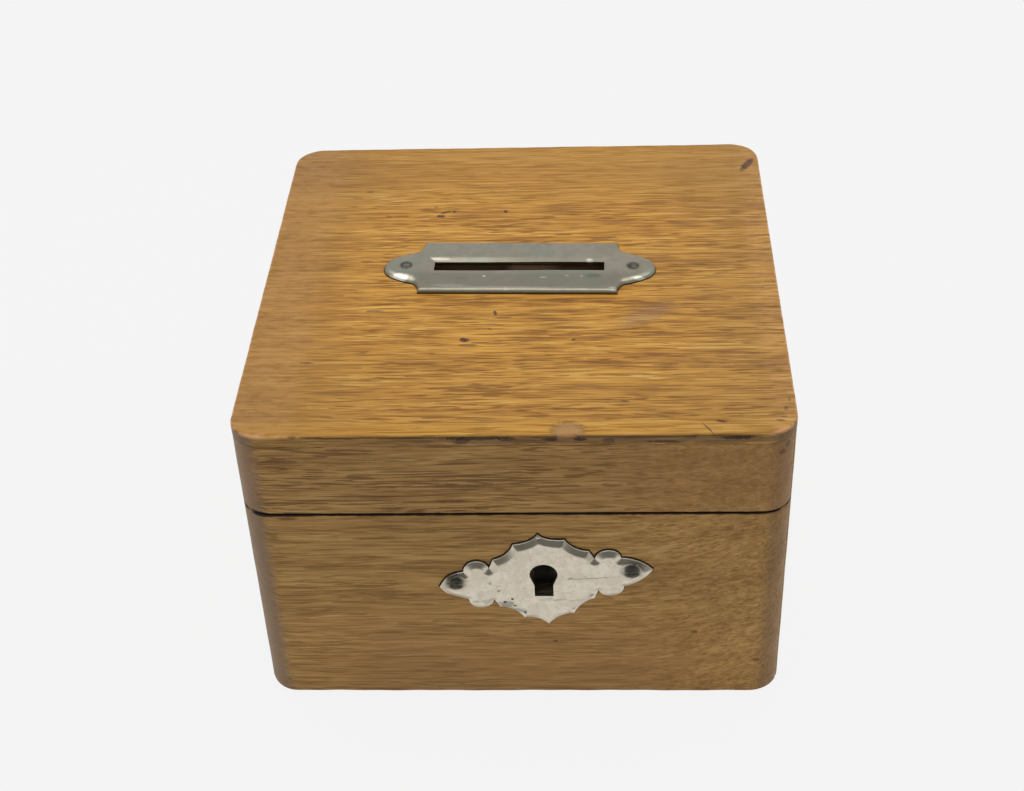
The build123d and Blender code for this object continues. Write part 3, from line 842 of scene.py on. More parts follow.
def bent(points):
    """Where points of the true pattern have come to: a lean, and soft pushes that fade with the
    square of the distance from their middles."""
    moved = points + 0.034 * points.imag - 0.2
    for middle, reach, push in key_pushes:
        moved = moved + push * swell(np.abs(points - middle) / reach)
    return moved


def key_plate_height(points, depth):
    """Thickness, less a crisp bevel, a small rounded border, a dish round each pin, a faint sag
    and the pits."""
    placed_at = bent(points)
    x, y = points.real, points.imag
    width = 1.5 * (1 + 0.1 * waver(x + 9 * (y > 0), 81, (5.0, 13.0, 31.0)))
    from_pin = np.minimum(np.abs(placed_at - key_pins[0]), np.abs(placed_at - key_pins[1]))
    dish = np.clip((2.3 - from_pin) / 1.05, 0, 1)
    z = key_plate_thick - 0.68 * pressed(depth, width, 0.1) - eased(depth, 0.1)
    z = z - 0.015 * (1 + waver(x, 82, (7.0, 15.0)) * waver(y, 83, (6.0, 11.0)))
    z = np.minimum(z, key_plate_thick - 0.45 * dish**2 * (3 - 2 * dish))
    return np.maximum(z - dented(placed_at, key_pits), 0.12)


def on_front(points, z):
    """Carries points of the keyhole plate to their place on the front."""
    return standing(key_plate_middle + np.exp(1j * key_tilt) * points, -half - z)


def cut_key_plate(piece, grow):
    """Cuts the keyhole and the holes for the plate's pins out of a piece."""
    keyhole = keyhole_bar(grow, -half + past, -half - above_plate)
    cut(piece, keyhole, *pin_bars(on_front, key_pins, *key_pin_hole))


key_plate = worn_plate(
    "worn_keyhole_plate", key_quarter, key_plate_height, lambda points, z: on_front(bent(points), z)
)
cut_key_plate(key_plate, 0.0)
print("keyhole plate", len(key_plate.data.polygons), "faces")

# %% [markdown]
# Polish and dirt have packed into a dark line on the wood round the plate, and the same line
# stands in for the shade at the plate's edge, so it is partly painted shade. It is made as a film a
# few hundredths of a millimetre thick, of the plate's own outline moved out by about a fifth of a
# millimetre, with a ragged border.

# %% The dirt and painted shade round the keyhole plate
film_thick = 0.06
film_reach = 0.22
film_shift = 0.1j


def grown(quarter, distance):
    """An outline moved out along its normals. Each point's normal is its neighbours' mean."""
    whole = np.concatenate([[-quarter[1].conjugate()], quarter, [quarter[-2].conjugate()]])
    heading = whole[2:] - whole[:-2]
    ragged = 1 + 0.35 * waver(np.arange(len(quarter)), 91, (5.0, 13.0, 29.0))
    return quarter + 1j * heading / np.abs(heading) * distance * ragged


film_quarter = grown(key_quarter, film_reach)
dirt_and_shade_film = worn_plate(
    "dirt_and_shade_round_keyhole_plate",
    film_quarter.real + 1j * np.abs(film_quarter.imag),
    lambda points, depth: film_thick - eased(depth, 0.04),
    lambda points, z: on_front(bent(points) + film_shift, z),
)
cut_key_plate(dirt_and_shade_film, 0.2)
cut(boards["base_front"], *pin_bars(on_front, key_pins, *key_pin_hole))
print("dirt film", len(dirt_and_shade_film.data.polygons), "faces")

# %% [markdown]
# The plate's two pins were driven by hand and sit a little off the places drilled for them, as
# the plate is bent there. Each is a shank and a low dome, which is a profile turned about its
# axis: circles of a radius at a height.

# %% The keyhole plate's pins
shank_radius, shank_foot = 0.65, -4.0
head_wide, head_foot, head_high = 1.18, 0.62, 0.46


def turned_pin(place, seed):
    """Circles up a shank, out under the head, and over its dome, whose height falls with the
    square of the distance from the axis. The dome's rim wavers, as hammered metal does."""
    share = np.linspace(1, 0.02, 12)
    radius = np.concatenate([[shank_radius, shank_radius], head_wide * share])
    height = np.concatenate([[shank_foot, head_foot], head_foot + head_high * (1 - share**2)])
    turn = np.arange(48) / 48
    uneven = 1 + 0.05 * waver(turn, seed, (1.0, 0.5, 0.34)) * (radius > shank_radius)[:, None]
    circles = place + radius[:, None] * uneven * np.exp(2j * np.pi * turn)
    return skin(on_front(circles, np.broadcast_to(height[:, None], circles.shape)))


(first_points, faces), (second_points, more_faces) = [
    turned_pin(pin, 95 + k) for k, pin in enumerate(key_pins)
]
faces += [[corner + len(first_points) for corner in face] for face in more_faces]
key_plate_pins = mesh_piece("worn_escutcheon_pins", np.concatenate([first_points, second_points]), faces)
smooth(key_plate_pins)
print("keyhole plate's pins", len(key_plate_pins.data.polygons), "faces")

# %% [markdown]
# ## Oak
# Real name: oak, sawn, planed, stained a little, oiled and rubbed by a hundred years of hands.
# What the eye reads as oak is fibres that run one way, soft growth bands, and open pores cut
# lengthways, which hold dark wax as dashes 2 to 15 mm long. Real pores are about 0.3 mm wide, and
# they are drawn 0.4 mm wide, so that they show. All of it is a solid pattern in the board's own
# coordinates, stretched along the grain, so the end grain shows dots where the faces show dashes,
# as real wood does.

# %% Steps that the patterns share


def millimetres():
    """The piece's own coordinates in millimetres."""
    return add("VectorMath SCALE", {0: add("TexCoord", out="Object"), "Scale": 1 / MM})


def axes(place):
    """The three coordinates of a place."""
    return [add("SeparateXYZ", (place,), out=axis) for axis in range(3)]


def noise(place, along, across, detail, out=0):
    """Noise in coordinates where one unit is `along` mm with the grain and `across` mm over it."""
    stretched = add("VectorMath MULTIPLY", (place, (1 / along, 1 / across, 1 / across)))
    return add("TexNoise", {"Vector": stretched, "Scale": 1.0, "Detail": detail}, out=out)


def ramp(value, low, high):
    """A smooth step: 0 at low and 1 at high, or falling where low is above high."""
    flip = low > high
    ends = (value, min(low, high), max(low, high), float(flip), float(not flip))
    return add("MapRange", ends, interpolation_type="SMOOTHSTEP")


def span(value, start, end, soft):
    """A mask: one between start and end of a coordinate, with soft ends."""
    return times(ramp(value, start - soft, start + soft), ramp(value, end + soft, end - soft))


def times(*values):
    """The product of several masks."""
    product = values[0]
    for value in values[1:]:
        product = add("Math MULTIPLY", (product, value))
    return product


def weighed(start, *parts, clamp=False):
    """A start and some values added up, each value times its weight."""
    for value, weight in parts:
        start = add("Math MULTIPLY_ADD", (value, weight, start), use_clamp=clamp)
    return start


def over(mask, under, above, strength=1.0):
    """One colour laid over another where the mask is. A hex code stands for its colour."""
    share = add("Math MULTIPLY", (mask, strength), use_clamp=True)
    under, above = [colour(tone) if isinstance(tone, str) else tone for tone in (under, above)]
    return add("Mix", {0: share, 6: under, 7: above}, out=2, data_type="RGBA")


def layered(shade, *films):
    """A shade with films laid over it in turn. Each film has a mask, a colour and a strength."""
    for mask, above, strength in films:
        shade = over(mask, shade, above, strength)
    return shade


print("pattern steps ready")

# %% [markdown]
# The grain's coordinates wander a little, since no tree grows straight. On the front boards the
# grain also rises and dives into the board towards the right, where the pores show as short
# slanting ticks: both come from one term that grows with the square of the way past a line.
# Each kind of mark in the grain is a noise with its own length and width in millimetres.

# %% The oak pattern
grain_turns_at = 16.0
wander_long, wander_wide, wander_far = 60, 22, 2.4
tone_weights = {"bands": 0.6, "streaks": 1.0, "fibres": 0.45}
pore_deep = 0.12
grain_sizes = (
    ("bands", 120, 5.0, 2), ("streaks", 13, 0.85, 2), ("fibres", 5, 0.28, 1),
    ("pores", 5.0, 0.42, 0), ("dashes", 13, 0.4, 0), ("clusters", 24, 3.0, 1),
)


def oak_grain(place, shift, across, lean):
    """The grain's coordinates: turned for a board whose grain runs across, wandering, and leant."""
    turn = (0.0, 0.0, math.radians(90) if across else 0.0)
    grain = add("Mapping", {"Vector": place, "Location": shift, "Rotation": turn})
    drift = add("VectorMath SUBTRACT", (noise(grain, wander_long, wander_wide, 2.0, 1), (0.5,) * 3))
    drift = add("VectorMath MULTIPLY", (drift, (0.0, wander_far, wander_far)))
    grain = add("VectorMath ADD", (grain, drift))
    if lean is None:
        return grain
    past_line = add("Math SUBTRACT", (axes(place)[0], grain_turns_at))
    square = add("Math POWER", (add("Math MAXIMUM", (past_line, 0.0)), 2.0))
    leant = add("VectorMath SCALE", {0: (0.0, lean[0], -lean[1]), "Scale": square})
    return add("VectorMath ADD", (grain, leant))


def oak_pattern(place, tones, pore, shift, across=False, lean=None, strength=1.0, calm=None):
    """Colour, roughness and relief of oak. Tones run from dark to light. Where the calm mask is
    one the pattern is a third fainter. A lean is how fast the grain dives in and how fast it
    climbs, both for the square of the way past the line where the grain starts to turn."""
    grain = oak_grain(place, shift, across, lean)
    parts = {}
    for name, along, wide, detail in grain_sizes:
        away = (len(parts) * 7.3,) * 3
        stretched = add("VectorMath MULTIPLY", (grain, (1 / along, 1 / wide, 1 / wide)))
        vector = add("VectorMath ADD", (stretched, away))
        parts[name] = add("TexNoise", {"Vector": vector, "Scale": 1.0, "Detail": float(detail)})
    even = 0.5 * (1 - sum(tone_weights.values()))
    tone = weighed(even, *((parts[name], weight) for name, weight in tone_weights.items()))
    dark, middle, light, bright = tones
    shade = layered(
        over(ramp(tone, 0.26, 0.46), dark, middle),
        (ramp(tone, 0.46, 0.64), light, 1.0), (ramp(tone, 0.62, 0.84), bright, 1.0),
    )
    short = times(ramp(parts["pores"], 0.56, 0.66), ramp(parts["clusters"], 0.36, 0.58))
    open_pore = add("Math MAXIMUM", (short, ramp(parts["dashes"], 0.62, 0.68)))
    fainter = 0.0 if calm is None else add("Math MULTIPLY", (calm, strength / 3))
    kept = add("Math SUBTRACT", (strength, fainter))
    open_pore = times(open_pore, kept)
    faded = add("Math SUBTRACT", (1.0, kept), use_clamp=True)
    shade = layered(shade, (open_pore, pore, 0.75), (faded, middle, 1.0))
    blotch = add("MapRange", (noise(place, 38, 26, 2.0), 0.3, 0.7, 0.92, 1.08))
    shade = add("HueSaturation", {"Value": blotch, "Color": shade})
    rough = weighed(0.6, (parts["streaks"], -0.25), (open_pore, 0.25))
    relief = weighed(0.0, (parts["fibres"], 0.25), (open_pore, -0.6))
    return shade, rough, relief


def wood_surface(shade, rough, relief):
    """The oiled surface: a faint dielectric sheen, with pores a tenth of a millimetre deep."""
    bump = add("Bump", {"Height": relief, "Strength": 0.6, "Distance": pore_deep * MM})
    oiled = {"Base Color": shade, "Roughness": rough, "Normal": bump, "Specular IOR Level": 0.3}
    add("OutputMaterial", {"Surface": add("BsdfPrincipled", oiled)})


print("oak pattern ready")

# %% [markdown]
# ## Marks and dirt
# Each mark is an oval in the face's own plane: a centre, a half length and a half height in
# millimetres. Its edge is torn by noise, so none of them reads as an oval.

# %% Marks
grime = "3E1E0A"


def oval(place, centre, size, flat_axis, tear, turn):
    """A mask: one inside an oval on a face, with a torn edge. flat_axis is the face's normal."""
    middle, extent, rotation = [
        np.insert(pair, flat_axis, third).tolist()
        for pair, third in ((centre, 0.0), (size, 1000.0), ((0.0, 0.0), math.radians(turn)))
    ]
    moved = add("VectorMath SUBTRACT", (place, middle))
    local = add("Mapping", {"Vector": moved, "Rotation": rotation})
    away = add("VectorMath LENGTH", (add("VectorMath DIVIDE", (local, extent)),), out=1)
    ragged = add("TexNoise", {"Vector": place, "Scale": 1.4, "Detail": 2.0})
    return ramp(weighed(away, (ragged, 2 * tear)), 1.15 + tear, 0.55 + tear)


def marked(shade, place, flat_axis, tear, marks, code=grime, face=None):
    """A shade with marks laid over it. Each has its middle's two coordinates, its half length and
    half width, its strength, and where it needs them a turn in degrees and a colour of its own."""
    for mark in marks:
        across, up, long, wide, strength, turn, own = (*mark, *(0.0, code)[len(mark) - 5:])
        mask = oval(place, (across, up), (long, wide), flat_axis, tear, turn)
        shade = over(mask if face is None else times(mask, face), shade, own, strength)
    return shade


top_marks = (
    (-20.2, 26.0, 1.3, 0.8, 0.9, 10), (-19.0, 27.9, 1.6, 0.4, 0.85, -32), (-17.1, 28.1, 0.5, 0.6, 0.8),
    (-4.2, 27.9, 0.65, 0.75, 0.95), (-21.7, 30.2, 0.6, 0.5, 0.45, -40), (-5.1, -15.8, 0.5, 1.1, 0.85, -10),
    (-3.2, -17.7, 2.4, 0.35, 0.6, -3), (-11.6, -26.1, 1.2, 0.9, 1.0, 20), (-8.2, -27.3, 2.6, 0.3, 0.7, 1),
    (-6.1, -22.0, 0.7, 0.35, 0.6, 20), (6.0, -18.0, 5.2, 0.35, 0.4, 2), (2.1, -28.0, 2.0, 0.3, 0.45, 4),
    (12.9, -26.4, 0.5, 0.5, 0.8), (-33.0, -14.5, 2.6, 0.35, 0.8), (-46.2, -34.2, 1.9, 0.35, 0.75),
    (-39.1, 38.1, 1.4, 0.4, 0.6), (-33.2, 26.1, 0.9, 0.5, 0.5), (23.9, -48.7, 1.1, 0.4, 0.7, 10),
    (43.9, -55.8, 1.3, 0.5, 0.85, 10), (56.2, -55.6, 1.1, 0.4, 0.6, 10), (56.9, 49.1, 4.0, 1.15, 1.0, -61),
    (12.2, -38.0, 6.0, 0.3, 0.5), (26.5, -35.3, 9.0, 0.35, 0.4), (-28.0, -40.0, 5.0, 0.3, 0.4),
    (57.6, -51.6, 0.5, 0.9, 0.6), (56.9, -54.4, 0.9, 0.4, 0.6), (58.6, -48.6, 0.4, 0.9, 0.5),
    (41.0, -58.2, 2.6, 0.22, 0.8, 59),
)
print("marks on top", len(top_marks))

# %% [markdown]
# ## The dirt under the lid's edge
# Fingers lift the lid at its front edge, and their grime has built up below it as a ragged band,
# a darker line just under the edge and darker patches. Each is laid over the wood's own colour.

# %% Grime for the lid's front edge
edge_patches = (
    (-22.5, 0.6, 3.6, 0.35, 0.45), (-8.0, 0.8, 7.6, 0.5, 0.75), (-10.5, 1.5, 2.0, 0.9, 0.6),
    (-1.0, 1.0, 2.2, 0.6, 0.6), (8.3, 1.2, 1.8, 0.5, 0.8), (14.3, 1.2, 1.5, 0.5, 0.85),
    (20.3, 1.7, 1.7, 0.9, 0.5), (32.0, 1.9, 4.4, 0.4, 0.7), (47.0, 1.0, 4.6, 0.5, 0.85),
    (-46.0, 0.35, 0.9, 0.4, 0.45), (-41.5, 0.45, 2.6, 0.2, 0.45), (56.6, 1.4, 0.7, 0.8, 0.6),
)


def edge_grime(place, x, y, z, shade):
    """Lays the dirt under the top front edge on a shade: a greyish brown band whose foot wavers,
    a dark line just below the edge, and darker patches where fingers lift the lid."""
    front = ramp(y, -58.9, -59.6)
    below = add("Math SUBTRACT", (lid_top_z, z))
    torn = noise(place, 7.0, 1.6, 3.0)
    for drop, least, foot_ends, top_ends, stretch, code, strength in (
        (3.4, 0.6, (-0.3, 0.5), (0.25, 0.5), (-22.0, 52.0, 8.0), "6E5444", 0.5),
        (1.5, -0.1, (-0.15, 0.15), (0.2, 0.4), (-44.0, 52.0, 4.0), "4A3022", 0.6),
    ):
        above_foot = add("Math SUBTRACT", (weighed(least, (torn, drop)), below))
        band = times(times(ramp(above_foot, *foot_ends), ramp(below, *top_ends)), span(x, *stretch), front)
        shade = over(band, shade, code, strength)
    patches = [(across, lid_top_z - down, *rest) for across, down, *rest in edge_patches]
    return marked(shade, place, 1, 0.7, patches, "34241C", front)


print("patches under the edge", len(edge_patches))

# %% [markdown]
# ## The rounded corners
# The case's corners show end grain that hands have rubbed smooth, so on every board the pattern
# fades there to a greyish brown. The grey is strongest in front and fades towards the back.

# %% Grey for the corners
corner_fade = 3.6


def ways_out(x, y):
    """How far a place lies from the middle, along x and along y."""
    return [add("Math ABSOLUTE", (way,)) for way in (x, y)]


def greyed_corners(shade, place, codes, at_back, *masks, strength=1.0):
    """Lays a greyish brown over the rounded corners: one code on the left and one on the right.
    The share at_back of it is left at the back."""
    x, y, _ = axes(place)
    corner = add("Math MINIMUM", ways_out(x, y))
    fade = add("MapRange", (y, -40.0, 40.0, 1.0, at_back))
    rounded = times(ramp(corner, corner_start, corner_start + corner_fade), *masks, fade)
    return over(rounded, shade, over(ramp(x, -20.0, 20.0), *codes), strength)


print("corners start", round(corner_start, 2), "mm from the middle")

# %% [markdown]
# ## The lid board's finish
# The top is the golden part: it has been rubbed most. Towards the front edge it turns orange,
# where the finish is thickest, and the edge itself is rubbed pale, with a painted highlight at both
# corners. The lip's faces below it take the sides' brown tones, which are painted lighter. The
# slot's walls are painted dark, as painted shade in the narrow slot, and paler over one stretch.

# %% Golden oak for the lid's board
golden, golden_pore = ("8A5C1E", "B07C26", "C4923C", "D6AC5C"), "583012"
# The brown tones are the wood's own, less yellow, and painted lighter: painted light for upright faces.
brown, brown_pore = ("996E38", "C29350", "D7A862", "EBBE7C"), "4A2A1A"


def golden_oak():
    """Oak for the lid's board, with its marks."""
    made = new_material("golden_oiled_oak")
    place = millimetres()
    x, y, z = axes(place)
    at_left, at_back = ramp(x, -28.0, -58.0), ramp(y, 22.0, 50.0)
    calm = add("Math MAXIMUM", (at_left, at_back))
    shift = (11.0, 3.0, 5.0)
    shade, rough, relief = oak_pattern(place, golden, golden_pore, shift, strength=0.9, calm=calm)
    shade = layered(
        shade,
        (at_left, "6C4E22", 0.5), (at_back, "6C4E28", 0.27), (ramp(y, -25.0, -50.0), "5E4012", 0.13),
        (ramp(y, -53.0, -59.5), "C08C24", 0.3), (ramp(x, 20.0, 60.0), "7A5E34", 0.28),
    )
    shade = marked(shade, place, 2, 0.7, [(29.5, -17.0, 7.5, 3.4, 0.38, -35.0, "6A5048")])
    shade = marked(shade, place, 2, 0.4, top_marks)
    # The lip's faces take the brown tones, with their painted light.
    side_shade = oak_pattern(place, brown, brown_pore, shift, strength=0.7)[0]
    side_shade = greyed_corners(side_shade, place, ("8A7058", "7E6242"), 0.4, strength=0.85)
    shade = over(ramp(z, lid_top_z - 0.12, lid_top_z - 0.38), shade, side_shade)
    above_lip = ramp(z, lid_top_z - 1.2, lid_top_z - 0.8)
    flake_marks = ((11.8, -58.4, 3.95, 3.25, 0.75, 0, "4E2E18"), (11.8, -58.7, 3.6, 2.9, 0.85, 0, "A67E46"))
    shade = marked(shade, place, 2, 0.3, flake_marks, face=above_lip)
    # The slot's walls are painted dark: painted shade in the narrow slot, paler over one stretch.
    in_slot = times(span(x, -22.0, 22.0, 0.2), span(y, -2.2, 6.2, 0.2))
    in_slot = times(in_slot, ramp(z, lid_top_z - 0.02, lid_top_z - 0.3))
    slot_paler_stretch = times(ramp(add("Math SUBTRACT", (x, 2.0)), 9.0, 3.0), ramp(x, -4.0, -1.0))
    slot_walls_painted_shade = over(slot_paler_stretch, "54402C", "A88C70")
    # At both corners the band just under the top is painted pale: rubbed wear with a painted highlight.
    at_corner = add("Math ADD", (ramp(x, -44.0, -50.0), ramp(x, 53.0, 56.0)))
    patchy = noise(place, 3.0, 1.5, 3.0)
    rubbed = times(span(z, lid_top_z - 0.7, lid_top_z - 0.05, 0.1), at_corner, ramp(patchy, 0.36, 0.56))
    shade = layered(shade, (in_slot, slot_walls_painted_shade, 0.85), (rubbed, "E0A878", 0.7))
    shade = edge_grime(place, x, y, z, shade)
    raw_lip = (11.2, lid_top_z - 0.6, 2.1, 0.5, 0.7)
    shade = marked(shade, place, 1, 0.5, [raw_lip], "A8794A", ramp(y, -58.8, -59.4))
    glue = times(span(z, lip_foot + 0.02, lip_foot + 0.2, 0.1), ramp(patchy, 0.4, 0.6))
    wood_surface(over(glue, shade, "B07038", 0.45), rough, relief)
    return made


print("golden oak", golden)

# %% [markdown]
# ## The side boards' finish
# The upright faces are browner and plainer, and their tones are painted lighter than the top's:
# painted light that makes up for the weaker light upright faces get. The rounded corners show end
# grain rubbed smooth, so their pattern fades to grey, most on the left. Inside the box the wood was
# never finished and stays paler. Along the seam the edges are black with dirt.

# %% Brown oak for the upright boards
front_marks = (
    (-11.0, 64.2, 8.5, 0.45, 0.6), (-14.0, 59.8, 4.8, 0.4, 0.6), (-49.4, 55.0, 2.6, 0.5, 0.6),
    (39.8, 19.9, 0.8, 0.6, 0.6), (8.1, 17.0, 0.7, 0.5, 0.5), (54.1, 10.7, 1.0, 0.7, 0.5),
    (-7.6, 47.4, 6.5, 0.45, 0.5), (56.6, 72.3, 0.9, 0.8, 0.5), (30.0, 66.0, 5.0, 0.3, 0.3),
    (57.7, 73.8, 0.7, 1.0, 0.5), (-30.0, 49.0, 6.0, 0.3, 0.4), (-22.0, 12.0, 5.5, 0.3, 0.3),
)
pale_chips = ((-41.5, 2.8, 0.8), (-53.5, 1.6, 0.5), (12.0, 1.2, 0.4), (33.0, 1.5, 0.35))


def front_wear(shade, place, x, y, z):
    """Lays the front's own wear and some painted shade on a shade: a redder stretch on the right of the
    lid, old marks, painted shade on the keyhole's walls, and pale chips along the seam."""
    redder = times(ramp(x, -10.0, 30.0), ramp(z, 53.0, 58.0))
    shade = marked(over(redder, shade, "9A6438", 0.22), place, 1, 0.5, front_marks)
    # The keyhole's walls are painted dark: painted shade inside the hole, greenish at its foot.
    in_hole = times(ramp(y, -0.3 - half, -0.1 - half), ramp(y, -52.0, -54.0))
    in_hole = times(in_hole, span(x, 1.5, 10.0, 0.1), span(z, 31.0, 43.5, 0.1))
    keyhole_painted_shade = over(ramp(x, 5.0, 3.8), "30302A", "6A4A38")
    keyhole_painted_shade = over(ramp(z, 36.4, 35.6), keyhole_painted_shade, "34382A", 0.9)
    chips = [(chip_x, base_top - 0.5, long, 0.4, strength) for chip_x, long, strength in pale_chips]
    return marked(over(in_hole, shade, keyhole_painted_shade, 0.93), place, 1, 0.3, chips, "CBA06C")


def seam_black(shade, place, x, z, outside, rim):
    """Lays black dirt on a shade along the seam, ragged, and wider at the left end."""
    from_rim = add("Math ABSOLUTE", (add("Math SUBTRACT", (z, rim)),))
    ragged = weighed(from_rim, (noise(place, 3.0, 3.0, 3.0), -0.5), (ramp(x, -46.0, -57.0), -0.25))
    black = times(ramp(ragged, 0.05, -0.12), ramp(outside, half - 2.0, half - 1.2))
    return over(black, shade, "150E0A", 0.95)


def brown_oak(name, shift, across=False, lean=None, rim=None):
    """Oak for upright boards. The front boards have their marks and a turning grain, and the
    boards that meet at the seam are black along it."""
    made = new_material(name)
    place = millimetres()
    x, y, z = axes(place)
    calm = times(ramp(x, 12.0, 34.0), 0.3 if rim == base_top else 1.0) if lean else None
    strength = 0.9 if lean and rim == lid_rim else 0.68
    shade, rough, relief = oak_pattern(place, brown, brown_pore, shift, across, lean, strength, calm)
    covered = add("MapRange", (x, -10.0, 10.0, 0.92, 0.55))
    shade = greyed_corners(shade, place, ("94785C", "745638"), 0.35, covered)
    wide, deep = ways_out(x, y)
    outside, corner = add("Math MAXIMUM", (wide, deep)), add("Math MINIMUM", (wide, deep))
    relief = times(relief, ramp(corner, corner_start + corner_fade, corner_start))
    raw = ramp(outside, inner + 0.4, inner + 0.05)
    low = times(ramp(z, 34.0, 14.0), ramp(wide, 52.0, 30.0))
    # The upper part of the outer faces is painted lighter: painted light against the dark card's shade.
    high = times(ramp(z, 48.0, 66.0), ramp(deep, inner, half - 1.0))
    shade = layered(shade, (raw, "C6A26C", 0.45), (low, "C0905A", 0.3), (high, "E0AA70", 0.12))
    if lean:
        shade = front_wear(shade, place, x, y, z)
    if rim:
        shade = seam_black(shade, place, x, z, outside, rim)
    wood_surface(shade, rough, relief)
    return made


grain_shifts = {
    "lid_front": (3.0, 8.0, 1.0), "base_front": (47.0, 12.0, 31.0),
    "lid_back": (80.0, 21.0, 7.0), "base_back": (9.0, 33.0, 17.0),
    "lid_left": (61.0, 4.0, 9.0), "base_left": (23.0, 14.0, 2.0),
    "lid_right": (5.0, 27.0, 19.0), "base_right": (33.0, 6.0, 25.0),
}
grain_leans = {"lid_front": (0.006, 0.0012), "base_front": (0.005, 0.0045)}
board_looks = {"lid_top": golden_oak(), "base_bottom": brown_oak("brown_oak_bottom", (71.0, 9.0, 13.0))}
for node, shift in grain_shifts.items():
    across = node.endswith(("left", "right"))
    rim = lid_rim if node.startswith("lid") else base_top
    board_looks[node] = brown_oak(f"brown_oak_{node}", shift, across, grain_leans.get(node), rim)
for node, piece in boards.items():
    dress(piece, board_looks[node])
    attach(piece, "lid" if node.startswith("lid") else "base")
    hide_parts(node)
print("boards dressed", len(boards))

# %% [markdown]
# ## Metals
# All the metals are old, so none is bright all over. Each keeps one base: its own colour, full
# metallic, and a roughness that noise breaks up, with tarnish that lies where noise is high.
# Scratches are noise stretched a long way in one direction.

# %% The metals' shared steps


def clouds(place, per_mm, detail):
    """Cloudy noise, the same every way, so many clouds to a millimetre."""
    return add("TexNoise", {"Vector": place, "Scale": per_mm, "Detail": detail, "Roughness": 0.6})


def metal_surface(shade, gloss, relief, strength, deep):
    """Bare metal with its own colour, a roughness and a relief some millimetres deep."""
    bump = add("Bump", {"Height": relief, "Strength": strength, "Distance": deep * MM})
    metal = {"Base Color": shade, "Metallic": 1.0, "Roughness": gloss, "Normal": bump}
    add("OutputMaterial", {"Surface": add("BsdfPrincipled", metal)})


def old_metal(name, clean, tarnish, rough, tarnish_size, tarnish_share):
    """An old metal: clean and tarnished colours mixed by noise, fine scratches and a dull gloss."""
    made = new_material(name)
    place = millimetres()
    cloud = clouds(place, 1 / tarnish_size, 4.0)
    spots = ramp(cloud, 0.42, 0.66)
    turned = add("Mapping", {"Vector": place, "Rotation": (0.0, 0.0, math.radians(20.0))})
    scratches = noise(turned, 6.0, 0.12, 2.0)
    gloss = weighed(rough - 0.05, (spots, 0.16), (scratches, 0.12))
    dents = weighed(cloud, (scratches, 0.3))
    metal_surface(over(spots, clean, tarnish, tarnish_share), gloss, dents, 0.5, 0.02)
    return made


metal_looks = {
    "dark_iron": old_metal("tarnished_iron", "55534D", "38352F", 0.5, 0.8, 0.8),
    "brass": old_metal("aged_brass", "B39253", "7A5E33", 0.42, 3.5, 0.6),
    "lock_steel": old_metal("sheared_steel_sheet", "8E8C86", "6A655C", 0.4, 4.0, 0.5),
    "lock_brass": old_metal("cut_brass", "BFA062", "8E7140", 0.36, 4.0, 0.5),
}
slots = {part["node"]: part["material_slot"] for part in frame["record"]["subparts"]}
plates = {"coin_slot_plate": slot_plate, "keyhole_escutcheon": key_plate, "escutcheon_pins": key_plate_pins}
for node, piece in frame["nodes"].items():
    if node not in boards and node not in plates:
        dress(piece, metal_looks[slots[node]])
print("metal nodes", len(frame["nodes"]) - len(boards) - len(plates))

# %% [markdown]
# The coin-slot plate is pressed steel with a dull plating, handled smooth. It mirrors the pale
# room softly, with faint cloudy tints, and its marks are best given in the plate's own place:
# x along it and y across it, from its middle. Some pale marks are painted highlights, the back
# bevel's left half has a painted bluish reflection, and the side is painted dark as shade.

# %% The coin-slot plate's finish
# The pale marks on the upper left rim, at the nick, in the dents and on both lobes are painted highlights.
slot_plate_marks_and_highlights = (
    (17.6, -4.2, 2.0, 1.1, 0.7, 0, "5C6256"), (13.0, -4.6, 2.4, 1.2, 0.4, 0, "84746C"),
    (-13.4, -5.4, 1.7, 1.0, 0.5, 0, "6C6A60"), (-18.8, 2.9, 2.8, 0.6, 0.5, 0, "D2CCBE"),
    (-9.0, 2.9, 7.0, 0.5, 0.5, 0, "8A867A"), (16.6, 1.9, 1.0, 0.5, 0.5, 0, "C8BEB4"),
    (-7.9, -4.6, 0.5, 0.4, 0.6, 0, "C8C4BA"), (5.8, -5.0, 0.9, 0.22, 0.6, 0, "B8B8AC"),
    (11.4, -4.3, 0.5, 0.3, 0.5, 0, "B0ADA2"), (14.8, -4.4, 0.4, 0.3, 0.5, 0, "B8B5AA"),
    (22.2, -9.2, 1.1, 0.5, 0.4, 0, "B0B4B4"), (-16.6, 4.2, 2.4, 0.25, 0.5, 0, "77746C"),
    (2.0, -7.6, 9.0, 0.6, 0.4, 0, "7C7468"), (-9.0, 6.4, 7.0, 0.8, 0.4, 0, "868A84"),
    (14.0, 5.8, 5.0, 0.9, 0.4, 0, "8A8078"), (-16.0, -8.4, 5.0, 0.5, 0.4, 0, "A09E92"),
    (-28.2, -4.6, 3.4, 1.3, 0.7, 0, "DCD8CE"), (28.6, -4.6, 2.4, 0.6, 0.4, 0, "D8D2C8"),
    (-4.0, -9.2, 16.0, 0.5, 0.4, 0, "9C9A90"), (8.0, -8.4, 1.6, 0.8, 0.4, 0, "746E66"),
)


def plate_place(middle, tilt):
    """A plate's own coordinates: millimetres from its middle, turned back by its tilt."""
    away = add("VectorMath SUBTRACT", (millimetres(), middle))
    return add("Mapping", {"Vector": away, "Rotation": tilt})


